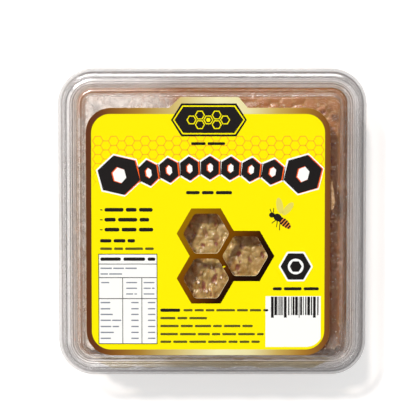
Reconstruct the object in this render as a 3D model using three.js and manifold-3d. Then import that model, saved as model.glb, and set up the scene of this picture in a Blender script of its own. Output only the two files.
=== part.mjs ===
// A shut, clear, square box of cut honeycomb, lying flat. A tub with a rolled rim holds a slab of
// capped comb, a push-on lid with a raised panel closes it, and a printed label with a tab and
// three hexagonal windows lies on the panel.
// Millimetres, +Z up. The origin is the middle of the flat underside, and the edge of the label
// that has the tab is towards +Y.

import * as THREE from "three";
import Module from "manifold-3d";
import { mergeVertices } from "three/addons/utils/BufferGeometryUtils.js";

// ---- Driving dimensions ----

// The box is a square with round corners. An inset is a distance in from its outline, and every
// edge of the tub and the lid is a line at one inset, with its corners concentric.
const SIDE = 124;
const CORNER = 14.1;
const ARC_STEPS = 4; // half the sides of a quarter turn
const WALL = 0.8; // clear plastic
const PLAY = 0.3; // between the tub, the lid and the comb

// Tub
const FOOT = { inset: 8.3, radius: 2.4, flat: 11.3 }; // outer face at the floor, and flat base
const CAVITY_FLOOR = 9.1; // inset of the inner face at the floor
const CAVITY_TOP = 7.5; // inset of the inner face under the ledge
const LEDGE_Z = 22.3; // the wall steps out here, to the mouth
const MOUTH = 6.3; // inset of the inner face of the mouth
const RIM_Z = 24.4; // top of the rolled rim
const ROLL = 2.9; // inset of the outer face of the rolled rim
const FLANGE = { inset: 1.1, z: 20.6 }; // edge and top of the flange outside the roll
const DRAFT = 0.4; // how far the outer face of the roll leans in

// Lid
const SKIRT = { bottom: 18.9, top: 21.7, radius: 0.5 }; // the skirt hangs over the flange
const BEAD = { outer: 1.8, inner: 6.9, z: 25.5, radius: 0.8 }; // the bead goes over the rim
const CHANNEL = { outer: 7.3, inner: 8.9, z: 24.5 }; // the channel inside the bead
const PANEL = { inset: 10.3, z: 29.6, radius: 0.7 }; // the raised panel
const PANEL_LEAN = 0.75; // how much further in the underside of its wall is

// Label, placed by its own middle
const LABEL = { x: -1.7, bottom: -52.4, top: 47.3, width: 97.8, corner: 9.8, thick: 0.25 };
const TAB = { left: -17.2, right: 14.2, topLeft: -12.7, topRight: 10.5, rise: 4.1 };
const WINDOW = { half: 8, rounding: 1.8 }; // middle of an opening to its flats
const WINDOW_PITCH = 18.1; // between the middles of two openings
const WINDOW_MIDDLE = { x: 2.7, y: -12.6 }; // where the three frames meet

// Comb
const COMB = { top: 22.3, cell: 5.45, turn: -2 }; // cappings' edges, cell across flats, degrees
const CAP = { dome: 0.45, spread: 0.2, wave: 0.2 }; // height of a capping over its edge
const PIT = { share: 0.3, radius: 1.15, depth: 1.5 }; // openings in some of the cappings
const MIDRIB_Z = 11.5; // the two layers of cells meet here
const SCALLOP = { count: 80, depth: 0.45 }; // cut cells down the sides
const SEED = 7;

// ---- Helpers ----

const radians = THREE.MathUtils.degToRad;

/** The square outline at an inset, as a path that runs anticlockwise. */
function outline(inset) {
  const radius = CORNER - inset;
  const reach = SIDE / 2 - inset - radius;
  const path = new THREE.Path();
  for (let quarter = 0; quarter < 4; quarter++) {
    const start = (quarter * Math.PI) / 2;
    const x = reach * (quarter === 0 || quarter === 3 ? 1 : -1);
    const y = reach * (quarter < 2 ? 1 : -1);
    path.absarc(x, y, radius, start, start + Math.PI / 2, false);
  }
  path.closePath();
  return path;
}

/** Points of a closed path without the repeated last one, lifted to z. */
function lift(points, z) {
  const open = points[0].distanceTo(points.at(-1)) < 1e-6 ? points.slice(0, -1) : points;
  return open.map((p) => new THREE.Vector3(p.x, p.y, z));
}

/** Replaces each corner [inset, z, radius] of a profile by a short arc's two ends. */
function eased(profile) {
  const points = profile.map(([inset, z]) => new THREE.Vector2(inset, z));
  return profile.flatMap(([, , radius], i) => {
    if (!radius) return [points[i]];
    const back = points[i - 1].clone().sub(points[i]);
    const on = points[i + 1].clone().sub(points[i]);
    const half = back.angleTo(on) / 2;
    const cut = Math.min(radius / Math.tan(half), back.length() / 2, on.length() / 2);
    return [back, on].map((way) => way.setLength(cut).add(points[i]));
  });
}

/**
 * A closed geometry from loops of equal length, carried from the middle of the underside out,
 * up and back in to the middle of the upper side. Each end is closed by a fan.
 */
function loft(loops) {
  const count = loops[0].length;
  const positions = loops.flat().flatMap((p) => p.toArray());
  const faces = [];
  for (let row = 0; row + 1 < loops.length; row++) {
    for (let i = 0; i < count; i++) {
      const a = row * count + i;
      const b = row * count + ((i + 1) % count);
      faces.push(a, b, b + count, a, b + count, a + count);
    }
  }
  const middle = loops.length * count;
  const last = middle - count;
  positions.push(0, 0, loops[0][0].z, 0, 0, loops.at(-1)[0].z);
  for (let i = 0; i < count; i++) {
    const next = (i + 1) % count;
    faces.push(middle, next, i);
    faces.push(middle + 1, last + i, last + next);
  }
  return geometryOf(positions, faces);
}

function geometryOf(positions, faces) {
  const geometry = new THREE.BufferGeometry();
  geometry.setAttribute("position", new THREE.Float32BufferAttribute(positions, 3));
  geometry.setIndex(faces);
  geometry.computeVertexNormals();
  return geometry;
}

/** A shell of the box: a profile of [inset, z, radius] corners carried round the outline. */
function shell(profile) {
  return loft(eased(profile).map((p) => lift(outline(p.x).getPoints(ARC_STEPS), p.y)));
}

/** Repeatable numbers from 0 to 1. */
function randomFrom(seed) {
  let state = seed;
  return () => {
    state = (state * 16807) % 2147483647;
    return state / 2147483647;
  };
}

// ---- Clear tub ----

function tubGeometry() {
  const foot = FOOT.inset;
  const wallTop = CAVITY_TOP - WALL;
  const mouthOuter = MOUTH - WALL;
  const rollInner = ROLL + WALL;
  const flangeUnder = FLANGE.z - WALL;
  return shell([
    [FOOT.flat, 0],
    [foot, 0, FOOT.radius],
    [wallTop, LEDGE_Z, 0.3],
    [mouthOuter, LEDGE_Z + WALL, 0.3],
    [mouthOuter, RIM_Z - WALL],
    [rollInner + DRAFT, RIM_Z - WALL, 0.3],
    [rollInner, flangeUnder],
    [FLANGE.inset, flangeUnder],
    [FLANGE.inset, FLANGE.z],
    [ROLL, FLANGE.z],
    [ROLL + DRAFT, RIM_Z, 0.6],
    [MOUTH, RIM_Z, 0.4],
    [MOUTH, LEDGE_Z + WALL, 0.3],
    [CAVITY_TOP, LEDGE_Z, 0.3],
    [CAVITY_FLOOR, WALL, FOOT.radius - WALL],
    [FOOT.flat, WALL],
  ]);
}

// ---- Clear lid ----

function lidGeometry() {
  const flangeUnder = FLANGE.z + PLAY;
  const beadUnder = RIM_Z + PLAY;
  const plug = MOUTH + PLAY;
  const lean = PANEL_LEAN;
  return shell([
    [PANEL.inset + 2 * lean, PANEL.z - WALL],
    [PANEL.inset + lean, PANEL.z - WALL, PANEL.radius - 0.3],
    [CHANNEL.inner + lean, CHANNEL.z - WALL, 0.3],
    [plug, CHANNEL.z - WALL, 0.3],
    [plug, beadUnder, 0.3],
    [ROLL - PLAY + 0.1, beadUnder, 0.4],
    [ROLL - PLAY, flangeUnder],
    [WALL, flangeUnder],
    [WALL, SKIRT.bottom],
    [0, SKIRT.bottom, 0.25],
    [0, SKIRT.top, SKIRT.radius],
    [BEAD.outer, SKIRT.top],
    [BEAD.outer + DRAFT / 2, BEAD.z, BEAD.radius],
    [BEAD.inner, BEAD.z, BEAD.radius],
    [CHANNEL.outer, CHANNEL.z, 0.3],
    [CHANNEL.inner, CHANNEL.z, 0.3],
    [PANEL.inset, PANEL.z, PANEL.radius],
    [PANEL.inset + 2 * lean, PANEL.z],
  ]);
}

// ---- Label ----

/** The middles of the three windows, each next to the other two. */
function windowMiddles() {
  const reach = WINDOW_PITCH / Math.sqrt(3);
  return [0, 120, 240].map((turn) => {
    const x = WINDOW_MIDDLE.x + reach * Math.cos(radians(turn));
    const y = WINDOW_MIDDLE.y + reach * Math.sin(radians(turn));
    return new THREE.Vector2(x, y);
  });
}

/** A hexagon with two level sides and short arcs for its corners. */
function hexagonPath(middle) {
  const corner = WINDOW.half / Math.cos(Math.PI / 6) - WINDOW.rounding / Math.cos(Math.PI / 6);
  const path = new THREE.Path();
  for (let i = 0; i < 6; i++) {
    const turn = (i * Math.PI) / 3;
    const x = middle.x + corner * Math.cos(turn);
    const y = middle.y + corner * Math.sin(turn);
    path.absarc(x, y, WINDOW.rounding, turn - Math.PI / 6, turn + Math.PI / 6, false);
  }
  path.closePath();
  return path;
}

function labelShape() {
  const left = LABEL.x - LABEL.width / 2 + LABEL.corner;
  const right = LABEL.x + LABEL.width / 2 - LABEL.corner;
  const low = LABEL.bottom + LABEL.corner;
  const high = LABEL.top - LABEL.corner;
  const shape = new THREE.Shape();
  shape.absarc(left, low, LABEL.corner, Math.PI, 1.5 * Math.PI, false);
  shape.absarc(right, low, LABEL.corner, 1.5 * Math.PI, 2 * Math.PI, false);
  shape.absarc(right, high, LABEL.corner, 0, 0.5 * Math.PI, false);
  shape.lineTo(TAB.right, LABEL.top);
  shape.lineTo(TAB.topRight, LABEL.top + TAB.rise);
  shape.lineTo(TAB.topLeft, LABEL.top + TAB.rise);
  shape.lineTo(TAB.left, LABEL.top);
  shape.absarc(left, high, LABEL.corner, 0.5 * Math.PI, Math.PI, false);
  shape.closePath();
  shape.holes = windowMiddles().map(hexagonPath);
  return shape;
}

function labelGeometry() {
  const sheet = { depth: LABEL.thick, bevelEnabled: false, curveSegments: 3 };
  return new THREE.ExtrudeGeometry(labelShape(), sheet).translate(0, 0, PANEL.z);
}

// ---- Comb ----

/** One turn round the cut sides, where every second point is pulled in to the wall of a cell. */
function sideLoop(inset, z, phase) {
  const points = 2 * SCALLOP.count;
  const crests = lift(outline(inset).getSpacedPoints(points), z);
  const walls = lift(outline(inset + SCALLOP.depth).getSpacedPoints(points), z);
  return crests.map((crest, i) => (i % 2 === phase ? crest : walls[i]));
}

/** The slab before its top is shaped. The cells of one layer lie half a cell along the other's. */
function slabGeometry() {
  const floor = CAVITY_FLOOR + PLAY;
  const top = CAVITY_TOP + PLAY;
  const insetAt = (z) => THREE.MathUtils.mapLinear(z, WALL, LEDGE_Z, floor, top);
  return loft([
    sideLoop(floor + 1.7, WALL, 0),
    sideLoop(floor + 0.5, WALL + 0.8, 0),
    sideLoop(insetAt(3), 3, 0),
    sideLoop(insetAt(MIDRIB_Z - 0.5), MIDRIB_Z - 0.5, 0),
    sideLoop(insetAt(MIDRIB_Z + 0.5), MIDRIB_Z + 0.5, 1),
    sideLoop(top, COMB.top + 1, 1),
  ]);
}

/** The slow rise and fall of the comb's face, and of the edges between its cappings. */
function faceZ(x, y) {
  return COMB.top + CAP.wave * Math.sin(x / 11 + 1) * Math.cos(y / 14);
}

/** Every cell whose middle lies near the slab. */
function cellMiddles() {
  const column = COMB.cell * Math.cos(Math.PI / 6);
  const reach = Math.ceil(SIDE / 2 / column);
  const middles = [];
  for (let i = -reach; i <= reach; i++) {
    for (let j = -reach; j <= reach; j++) {
      const middle = new THREE.Vector2(i * column, (j + Math.abs(i % 2) / 2) * COMB.cell);
      middles.push(middle.rotateAround(new THREE.Vector2(), radians(COMB.turn)));
    }
  }
  return middles;
}

/** All that lies above the cappings, as one closed geometry: its underside is their relief. */
function aboveCappings() {
  const random = randomFrom(SEED);
  const corner = COMB.cell / 2 / Math.cos(Math.PI / 6);
  const positions = [];
  const shared = new Map();
  const faces = [];

  function vertex(x, y, z) {
    positions.push(x, y, z);
    return positions.length / 3 - 1;
  }
  function ring(middle, radius, zAt) {
    return [0, 60, 120, 180, 240, 300].map((turn) => {
      const x = middle.x + radius * Math.cos(radians(turn + COMB.turn));
      const y = middle.y + radius * Math.sin(radians(turn + COMB.turn));
      return zAt(x, y);
    });
  }
  function sharedVertex(x, y) {
    const key = `${Math.round(x * 50)},${Math.round(y * 50)}`;
    if (!shared.has(key)) shared.set(key, vertex(x, y, faceZ(x, y)));
    return shared.get(key);
  }

  for (const middle of cellMiddles()) {
    const dome = faceZ(middle.x, middle.y) + CAP.dome + CAP.spread * (random() - 0.5);
    const open = random() < PIT.share;
    let edge = ring(middle, corner, sharedVertex);
    if (open) {
      const lip = ring(middle, PIT.radius, (x, y) => vertex(x, y, dome));
      edge.forEach((a, i) => {
        const j = (i + 1) % 6;
        faces.push(edge[j], a, lip[i], edge[j], lip[i], lip[j]);
      });
      edge = lip;
    }
    const centre = vertex(middle.x, middle.y, open ? dome - PIT.depth : dome);
    edge.forEach((a, i) => faces.push(edge[(i + 1) % 6], a, centre));
  }
  return closedUpwards(positions, faces, PANEL.z);
}

/** Closes an open sheet that faces down, with a copy of it at height z and walls round its rim. */
function closedUpwards(positions, faces, z) {
  const count = positions.length / 3;
  const both = [...positions, ...positions.map((value, i) => (i % 3 === 2 ? z : value))];
  const all = [...faces];
  const edges = new Set();
  for (let i = 0; i < faces.length; i += 3) {
    const [a, b, c] = faces.slice(i, i + 3);
    all.push(c + count, b + count, a + count);
    [`${a},${b}`, `${b},${c}`, `${c},${a}`].forEach((edge) => edges.add(edge));
  }
  for (const edge of edges) {
    const [a, b] = edge.split(",").map(Number);
    if (!edges.has(`${b},${a}`)) all.push(b, a, a + count, b, a + count, b + count);
  }
  return geometryOf(both, all);
}

/** The slab with the relief of its cappings, cut by manifold-3d. */
async function combGeometry() {
  const wasm = await Module();
  wasm.setup();
  const solid = (geometry) => {
    const bare = mergeVertices(geometry.clone().deleteAttribute("normal"));
    const vertProperties = new Float32Array(bare.attributes.position.array);
    const triVerts = new Uint32Array(bare.index.array);
    return new wasm.Manifold(new wasm.Mesh({ numProp: 3, vertProperties, triVerts }));
  };
  const cut = solid(slabGeometry()).subtract(solid(aboveCappings())).getMesh();
  return geometryOf(cut.vertProperties, Array.from(cut.triVerts));
}

// ---- The object ----

function plastic() {
  const clear = { transparent: true, opacity: 0.35 };
  return new THREE.MeshStandardMaterial({ color: 0xe4e0dc, roughness: 0.12, ...clear });
}

function named(name, geometry, material) {
  const mesh = new THREE.Mesh(geometry, material);
  mesh.name = name;
  return mesh;
}

const box = new THREE.Group();
const paper = new THREE.MeshStandardMaterial({ color: 0xfff200, roughness: 0.5 });
const wax = new THREE.MeshStandardMaterial({ color: 0xb08a58, roughness: 0.45 });

box.add(named("tub", tubGeometry(), plastic()));
box.add(named("lid", lidGeometry(), plastic()));
box.add(named("label", labelGeometry(), paper));
box.add(named("comb", await combGeometry(), wax));

export default box;
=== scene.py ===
import math

import bpy
import numpy as np
from bpy.props import FloatProperty, FloatVectorProperty, PointerProperty
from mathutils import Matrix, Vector
from mathutils.geometry import tessellate_polygon


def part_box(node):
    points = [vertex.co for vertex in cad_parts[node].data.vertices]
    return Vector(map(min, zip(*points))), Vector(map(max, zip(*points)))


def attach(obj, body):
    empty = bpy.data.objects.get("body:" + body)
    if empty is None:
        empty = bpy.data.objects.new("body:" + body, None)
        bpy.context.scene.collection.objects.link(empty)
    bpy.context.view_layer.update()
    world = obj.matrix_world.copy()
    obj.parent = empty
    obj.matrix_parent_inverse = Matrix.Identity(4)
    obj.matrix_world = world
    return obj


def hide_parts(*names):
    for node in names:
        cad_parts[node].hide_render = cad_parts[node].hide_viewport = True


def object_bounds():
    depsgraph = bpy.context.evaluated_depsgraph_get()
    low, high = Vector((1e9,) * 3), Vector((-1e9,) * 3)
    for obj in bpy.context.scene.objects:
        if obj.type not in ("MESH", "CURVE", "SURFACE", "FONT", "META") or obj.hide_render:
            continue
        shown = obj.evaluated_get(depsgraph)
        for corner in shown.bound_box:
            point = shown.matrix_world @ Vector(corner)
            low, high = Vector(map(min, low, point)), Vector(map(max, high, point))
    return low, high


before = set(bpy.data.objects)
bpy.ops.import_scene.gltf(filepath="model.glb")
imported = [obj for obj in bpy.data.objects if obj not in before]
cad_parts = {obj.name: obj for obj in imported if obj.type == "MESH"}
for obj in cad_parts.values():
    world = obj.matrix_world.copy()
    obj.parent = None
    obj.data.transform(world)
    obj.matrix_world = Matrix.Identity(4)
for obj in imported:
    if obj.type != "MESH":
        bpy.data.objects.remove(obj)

bl_info = {
    "name": "Honeycomb Box",
    "version": (1, 0, 0),
    "blender": (4, 5, 0),
    "location": "3D View > Sidebar > Honeycomb Box",
    "description": "A clear square box of capped honeycomb under a printed label",
    "category": "Object",
}

# Shapes are worked out in millimetres and put into their meshes in metres.
MM = 0.001
CAD_LOW, CAD_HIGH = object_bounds()
HALF_SIDE = (CAD_HIGH.x - CAD_LOW.x) / MM / 2
PANEL_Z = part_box("lid")[1].z / MM
LABEL_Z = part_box("label")[1].z / MM
# Heights of the tub's floor, flange, ledge and rim, and of the lid's channel and bead
FLOOR_Z, FLANGE_Z, LEDGE_Z, RIM_Z, CHANNEL_Z, BEAD_Z = 0.8, 20.6, 22.3, 24.4, 24.5, 25.5
# Insets from the box's outline: the tub's mouth, its wall at ledge and foot, and the lid's panel
MOUTH, WALL_TOP, WALL_FOOT, PANEL_EDGE = 6.3, 7.5, 9.1, 11.8


# ---- Properties ----


def length(name, description, default_mm, low=0.0):
    """A length property in metres, from a default in millimetres."""
    return FloatProperty(
        name=name, description=description, default=default_mm * MM, min=low, unit="LENGTH", precision=5
    )


def share(name, description, default):
    """A property from 0 to 1."""
    return FloatProperty(
        name=name, description=description, default=default, min=0.0, max=1.0, subtype="FACTOR"
    )


def angle(name, description, degrees):
    """An angle property, from a default in degrees."""
    return FloatProperty(
        name=name, description=description, default=math.radians(degrees), subtype="ANGLE"
    )


def strength(name, description, default):
    """The strength of a light."""
    return FloatProperty(name=name, description=description, default=default, min=0.0)


def linear(*rgb):
    """Scene-linear colour from 8-bit display values."""
    values = [v / 255 for v in rgb]
    return [v / 12.92 if v <= 0.04045 else ((v + 0.055) / 1.055) ** 2.4 for v in values]


def colour(name, description, *rgb):
    """A colour property from 8-bit display values."""
    return FloatVectorProperty(
        name=name, description=description, default=linear(*rgb), min=0.0, max=1.0, subtype="COLOR"
    )


class BoxSettings(bpy.types.PropertyGroup):
    """Sizes and colours of the clear tub and lid"""

    corner: length("Corner radius", "Radius of the box's corners", 14.1)
    wall: length("Wall", "Thickness of the clear plastic", 0.8)
    play: length("Play", "Gap between the tub and the lid", 0.3)
    groove: length("Bead groove", "Depth of the shallow groove along the bead", 0.2)
    ripple: length("Panel ripple", "Height of the slow ripple in the panel", 0.05)
    tub_tint: colour("Tub tint", "Colour of light that has passed the tub", 240, 236, 233)
    lid_tint: colour("Lid tint", "Colour of light that has passed the lid", 241, 238, 237)
    # The rim's grey is partly the thicker plastic and partly painted shade
    rim_tint_and_shade: colour("Rim tint", "Colour of light that has passed the thick outer edge", 206, 205, 206)


class CombSettings(bpy.types.PropertyGroup):
    """Sizes and colours of the comb, its honey and its crumbs"""

    cell: length("Cell", "Width of a cell across its flats", 5.45)
    top: length("Top", "Height of the edges of the cappings", 22.3)
    midrib: length("Midrib", "Height of the wall between the two layers of cells", 11.6)
    dome: length("Dome", "Height of a capping over its edge", 0.6)
    pit_share: share("Open share", "Share of the cappings with an opening", 0.5)
    wax: colour("Wax", "Dry cappings", 158, 127, 58)
    # Pale wax on raised places is partly the wax's own tone and partly painted highlight
    pale_wax: colour("Pale wax", "Raised wax and cut cell walls", 216, 190, 124)
    honey: colour("Honey", "Honey soaked wax", 190, 128, 74)
    hollow: colour("Hollow", "Inside of the openings", 150, 94, 72)
    film: colour("Honey film", "Colour of light that has passed the film of honey", 246, 228, 186)
    drop: colour("Honey drop", "Colour of light that has passed a drop of honey", 252, 240, 216)
    seep: colour("Seeped honey", "Colour of light that has passed the honey on the rim", 226, 216, 186)
    # The fog is a pale film that stands in for a painted haze of reflected light
    fog: colour("Fog", "Wax bloom and dried honey under the lid", 236, 229, 220)


class LabelSettings(bpy.types.PropertyGroup):
    """Colours of the printed label"""

    yellow: colour("Yellow", "Ground of the label", 250, 236, 0)
    black: colour("Black", "Dark print", 24, 20, 20)
    orange: colour("Orange", "Edges of the row of cells", 250, 96, 30)
    grey: colour("Table print", "Print in the white table", 132, 138, 150)
    olive: colour("Thin print", "Thin lines of print on the yellow", 92, 86, 26)
    layer: length("Layer", "Thickness of one layer of ink", 0.02)


class StageSettings(bpy.types.PropertyGroup):
    """Camera, light and floor"""

    distance: length("Distance", "From the camera to the middle of the view", 1200)
    tilt: angle("Tilt", "How far the camera stands over towards +Y", 6)
    view_width: length("View width", "Width of the view at that distance", 168.0)
    aim_x: length("Aim X", "Point that the camera looks at", -1.72, low=-1.0)
    aim_y: length("Aim Y", "Point that the camera looks at", 5.72, low=-1.0)
    aim_z: length("Aim Z", "Point that the camera looks at", 20.3)
    key: strength("Key", "Strength of the key light", 2.9)
    sky: strength("Surroundings", "Strength of the even light", 0.36)
    panel_light: strength("Panel lamp", "Strength of the lamp in the panel", 6.0)
    edge_light: strength("Edge lamp", "Strength of the lamps in the small steps", 12.0)
    rim_light: strength("Rim lamp", "Strength of the lamps in the rim", 5.0)


# ---- Shapes ----


def smooth(value, low, high):
    """3t² − 2t³ of the value's place between low and high, held to 0 to 1."""
    t = np.clip((value - low) / (high - low), 0, 1)
    return t * t * (3 - 2 * t)


def hills(x, y, size, seed):
    """Smooth random hills from −1 to 1: random values on a square lattice of that size, blended
    by 3t² − 2t³ between the four nearest."""
    count = 128
    table = np.random.default_rng(seed).uniform(-1, 1, (count, count))
    u, v = np.asarray(x) / size, np.asarray(y) / size
    i, j = np.floor(u).astype(int), np.floor(v).astype(int)
    s, t = smooth(u - i, 0, 1), smooth(v - j, 0, 1)
    i0, i1, j0, j1 = i % count, (i + 1) % count, j % count, (j + 1) % count
    low = table[i0, j0] * (1 - s) + table[i1, j0] * s
    high = table[i0, j1] * (1 - s) + table[i1, j1] * s
    return low * (1 - t) + high * t


def eased(profile):
    """A profile [inset, z, radius] with an arc of five lines in each corner that has a radius: the
    rational quadratic curve between the two tangent points, weighted by the sine of half the
    corner."""
    points = np.array([p[:2] for p in profile], float)
    out = []
    for i, corner in enumerate(profile):
        if len(corner) < 3:
            out.append(points[i])
            continue
        back, on = points[i - 1] - points[i], points[i + 1] - points[i]
        back_length, on_length = np.linalg.norm(back), np.linalg.norm(on)
        half = math.acos(np.clip(back @ on / back_length / on_length, -1, 1)) / 2
        cut = min(corner[2] / math.tan(half), 0.48 * back_length, 0.48 * on_length)
        a, b = points[i] + back / back_length * cut, points[i] + on / on_length * cut
        t, w = np.linspace(0, 1, 6)[:, None], math.sin(half)
        top = (1 - t) ** 2 * a + 2 * w * t * (1 - t) * points[i] + t**2 * b
        out.extend(top / ((1 - t) ** 2 + 2 * w * t * (1 - t) + t**2))
    return np.array(out)


def track(box, arc, slides):
    """One turn round the box, anticlockwise: for each column the middle its corner turns about and
    the outward way. A quarter is an arc about one middle and then a run, at the given shares of
    its length, to the next middle; the other quarters are that one turned."""
    reach = HALF_SIDE - box.corner / MM
    turn = np.concatenate([np.linspace(0, math.pi / 2, arc + 1), np.full(len(slides), math.pi / 2)])
    slide = np.concatenate([np.zeros(arc + 1), slides])
    middle = np.stack([reach * (1 - 2 * slide), np.full(len(slide), reach)], 1)
    way = np.stack([np.cos(turn), np.sin(turn)], 1)
    turns = [np.linalg.matrix_power(np.array([[0, 1], [-1, 0]]), k) for k in range(4)]
    return np.concatenate([middle @ q for q in turns]), np.concatenate([way @ q for q in turns])


def placed(inset, height, box, middles, ways):
    """Points at each inset and height: the corner radius less the inset from the middles."""
    flat = middles + ways * (box.corner / MM - inset)[..., None]
    return np.concatenate([flat, height[..., None]], -1)


def carried(profile, box, middles, ways, sway=None):
    """Rings of points: each [inset, z] of the profile carried round the box. sway(insets, heights)
    moves the insets, row by row and column by column."""
    inset = np.repeat(profile[:, :1], len(middles), 1)
    height = np.repeat(profile[:, 1:], len(middles), 1)
    return placed(sway(inset, height) if sway else inset, height, box, middles, ways)


def ring_faces(rows, columns):
    """Quads of a grid of rings that is closed along its rings."""
    r, c = np.meshgrid(np.arange(rows - 1), np.arange(columns), indexing="ij")
    n = (c + 1) % columns
    corners = [r * columns + c, r * columns + n, (r + 1) * columns + n, (r + 1) * columns + c]
    return np.stack(corners, -1).reshape(-1, 4)


def closed_faces(rings):
    """Quads of a grid of rings that is closed both ways."""
    rows, columns = rings.shape[:2]
    return ring_faces(rows + 1, columns) % (rows * columns)


def grid_faces(rows, columns):
    """Quads of an open grid."""
    i, j = np.meshgrid(np.arange(rows - 1), np.arange(columns - 1), indexing="ij")
    first = i * columns + j
    return np.stack([first, first + columns, first + columns + 1, first + 1], -1).reshape(-1, 4)


def fans(rows, columns):
    """Triangles that close both ends of a grid of rings, about the two points after the grid."""
    c = np.arange(columns)
    n, last = (c + 1) % columns, (rows - 1) * columns
    start = np.stack([np.full(columns, rows * columns), n, c], 1)
    end = np.stack([np.full(columns, rows * columns + 1), last + c, last + n], 1)
    return np.concatenate([start, end])


def tube(rings):
    """Points, quads and tris of a body along a path: closed rings one after the other, with a fan
    to the middle of the first and of the last."""
    points = np.concatenate([rings.reshape(-1, 3), [rings[0].mean(0), rings[-1].mean(0)]])
    return points, ring_faces(*rings.shape[:2]), fans(*rings.shape[:2])


def joined(parts):
    """Points, quads and tris of several bodies as one."""
    starts = np.cumsum([0] + [len(part[0]) for part in parts])
    return tuple(
        np.concatenate([part[k] + (start if k else 0) for part, start in zip(parts, starts)])
        for k in range(3)
    )


def mesh_object(name, points, quads, tris=None, attributes=None, sharp=None):
    """An object at the origin from whole arrays: points in millimetres, quads and tris of their
    numbers, and named numbers for each point. Faces meeting over the sharp angle keep their edge."""
    tris = np.zeros((0, 3), int) if tris is None else tris
    mesh = bpy.data.meshes.new(name)
    mesh.vertices.add(len(points))
    mesh.vertices.foreach_set("co", (np.asarray(points, float) * MM).astype(np.float32).ravel())
    corners = np.concatenate([quads.ravel(), tris.ravel()]).astype(np.int32)
    starts = np.concatenate([np.arange(len(quads)) * 4, 4 * len(quads) + np.arange(len(tris)) * 3])
    mesh.loops.add(len(corners))
    mesh.loops.foreach_set("vertex_index", corners)
    mesh.polygons.add(len(starts))
    mesh.polygons.foreach_set("loop_start", starts.astype(np.int32))
    mesh.update(calc_edges=True)
    for key, values in (attributes or {}).items():
        layer = mesh.attributes.new(key, "FLOAT", "POINT")
        layer.data.foreach_set("value", np.asarray(values, np.float32).ravel())
    mesh.polygons.foreach_set("use_smooth", np.full(len(starts), sharp is not None))
    if sharp is not None:
        mesh.set_sharp_from_angle(angle=math.radians(sharp))
    if mesh.validate():
        raise RuntimeError(f"{name} has faces that aren't valid")
    thing = bpy.data.objects.new(name, mesh)
    bpy.context.scene.collection.objects.link(thing)
    return thing


def finished(thing, paint, slot, *nodes):
    """Gives a piece its material, lets it stand for its CAD nodes and ride on the box; the slot is not
    used.
    """
    thing.data.materials.append(paint.material)
    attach(thing, "root")
    if nodes:
        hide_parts(*nodes)


def edge_inset(x, y, box):
    """How far in from the box's outline a point lies."""
    reach = HALF_SIDE - box.corner / MM
    ax, ay = np.abs(x), np.abs(y)
    round_way = box.corner / MM - np.hypot(np.maximum(ax - reach, 0), np.maximum(ay - reach, 0))
    return np.where((ax > reach) & (ay > reach), round_way, HALF_SIDE - np.maximum(ax, ay))


def flat_prism(shapes, low, high):
    """Points, quads and tris of flat prisms between two heights. A shape is a list of closed lines,
    the first its outline and the others its holes; the caps are cut into triangles."""
    points, quads, tris, start = [], [], [], 0
    for loops in shapes:
        flat = np.concatenate(loops)
        count, offset = len(flat), start
        caps = np.array(tessellate_polygon([[Vector((x, y, 0)) for x, y in loop] for loop in loops]))
        a, b, c = (flat[caps[:, k]] for k in range(3))
        back = (b[:, 0] - a[:, 0]) * (c[:, 1] - a[:, 1]) < (b[:, 1] - a[:, 1]) * (c[:, 0] - a[:, 0])
        caps[back] = caps[back][:, ::-1]
        tris += [start + caps[:, ::-1], start + count + caps]
        for k, loop in enumerate(loops):
            x, y = loop.T
            i = offset + np.arange(len(loop))
            j = np.roll(i, -1)
            anticlockwise = np.sum(x * np.roll(y, -1) - np.roll(x, -1) * y) > 0
            if anticlockwise != (k == 0):
                i, j = j, i
            quads.append(np.stack([i, j, j + count, i + count], 1))
            offset += len(loop)
        points += [np.column_stack([flat, np.full(count, z)]) for z in (low, high)]
        start += 2 * count
    return np.concatenate(points), np.concatenate(quads), np.concatenate(tris)


def polar(x, y, radius, degrees):
    """Points at a radius and some angles from a place."""
    turn = np.radians(degrees)
    return np.stack([x + radius * np.cos(turn), y + radius * np.sin(turn)], -1)


def turned(shape, degrees, x, y):
    """A shape about the origin, turned by some degrees and moved to a place."""
    c, s = math.cos(math.radians(degrees)), math.sin(math.radians(degrees))
    return shape @ np.array([[c, s], [-s, c]]) + (x, y)


def oval(x, y, wide, tall, degrees=0.0):
    """An ellipse of some half width and half height, turned by some degrees."""
    t = np.linspace(0, 2 * np.pi, 20, endpoint=False)
    return turned(np.column_stack([wide * np.cos(t), tall * np.sin(t)]), degrees, x, y)


def bar(left, low, right, high):
    """A rectangle as one shape."""
    return [np.array([[left, low], [right, low], [right, high], [left, high]])]


def stroke(a, b, width):
    """A straight line of some width as a thin rectangle."""
    a, b = np.array(a), np.array(b)
    side = np.array([-(b - a)[1], (b - a)[0]]) / np.linalg.norm(b - a) * width / 2
    return [np.array([a - side, b - side, b + side, a + side])]


def cell_outline(x, y, half, rounding=0.0):
    """A hexagon with two level sides, some half width across its flats, with an arc of the rounding
    in each corner."""
    middles = polar(x, y, (half - rounding) / math.cos(math.pi / 6), np.arange(0, 360, 60))
    steps = 5 if rounding else 1
    return np.concatenate(
        [polar(*at, rounding, 60 * k + np.linspace(-30, 30, steps)) for k, at in enumerate(middles)]
    )


def round_bar(left, low, right, high, radius, steps):
    """A rectangle with an arc of some radius in each corner, from the right upper one on."""
    x0, y0, x1, y1 = left + radius, low + radius, right - radius, high - radius
    corners = ((x1, y1, 0), (x0, y1, 90), (x0, y0, 180), (x1, y0, 270))
    arcs = [polar(x, y, radius, np.linspace(a, a + 90, steps + 1)) for x, y, a in corners]
    return np.concatenate(arcs)


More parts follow.
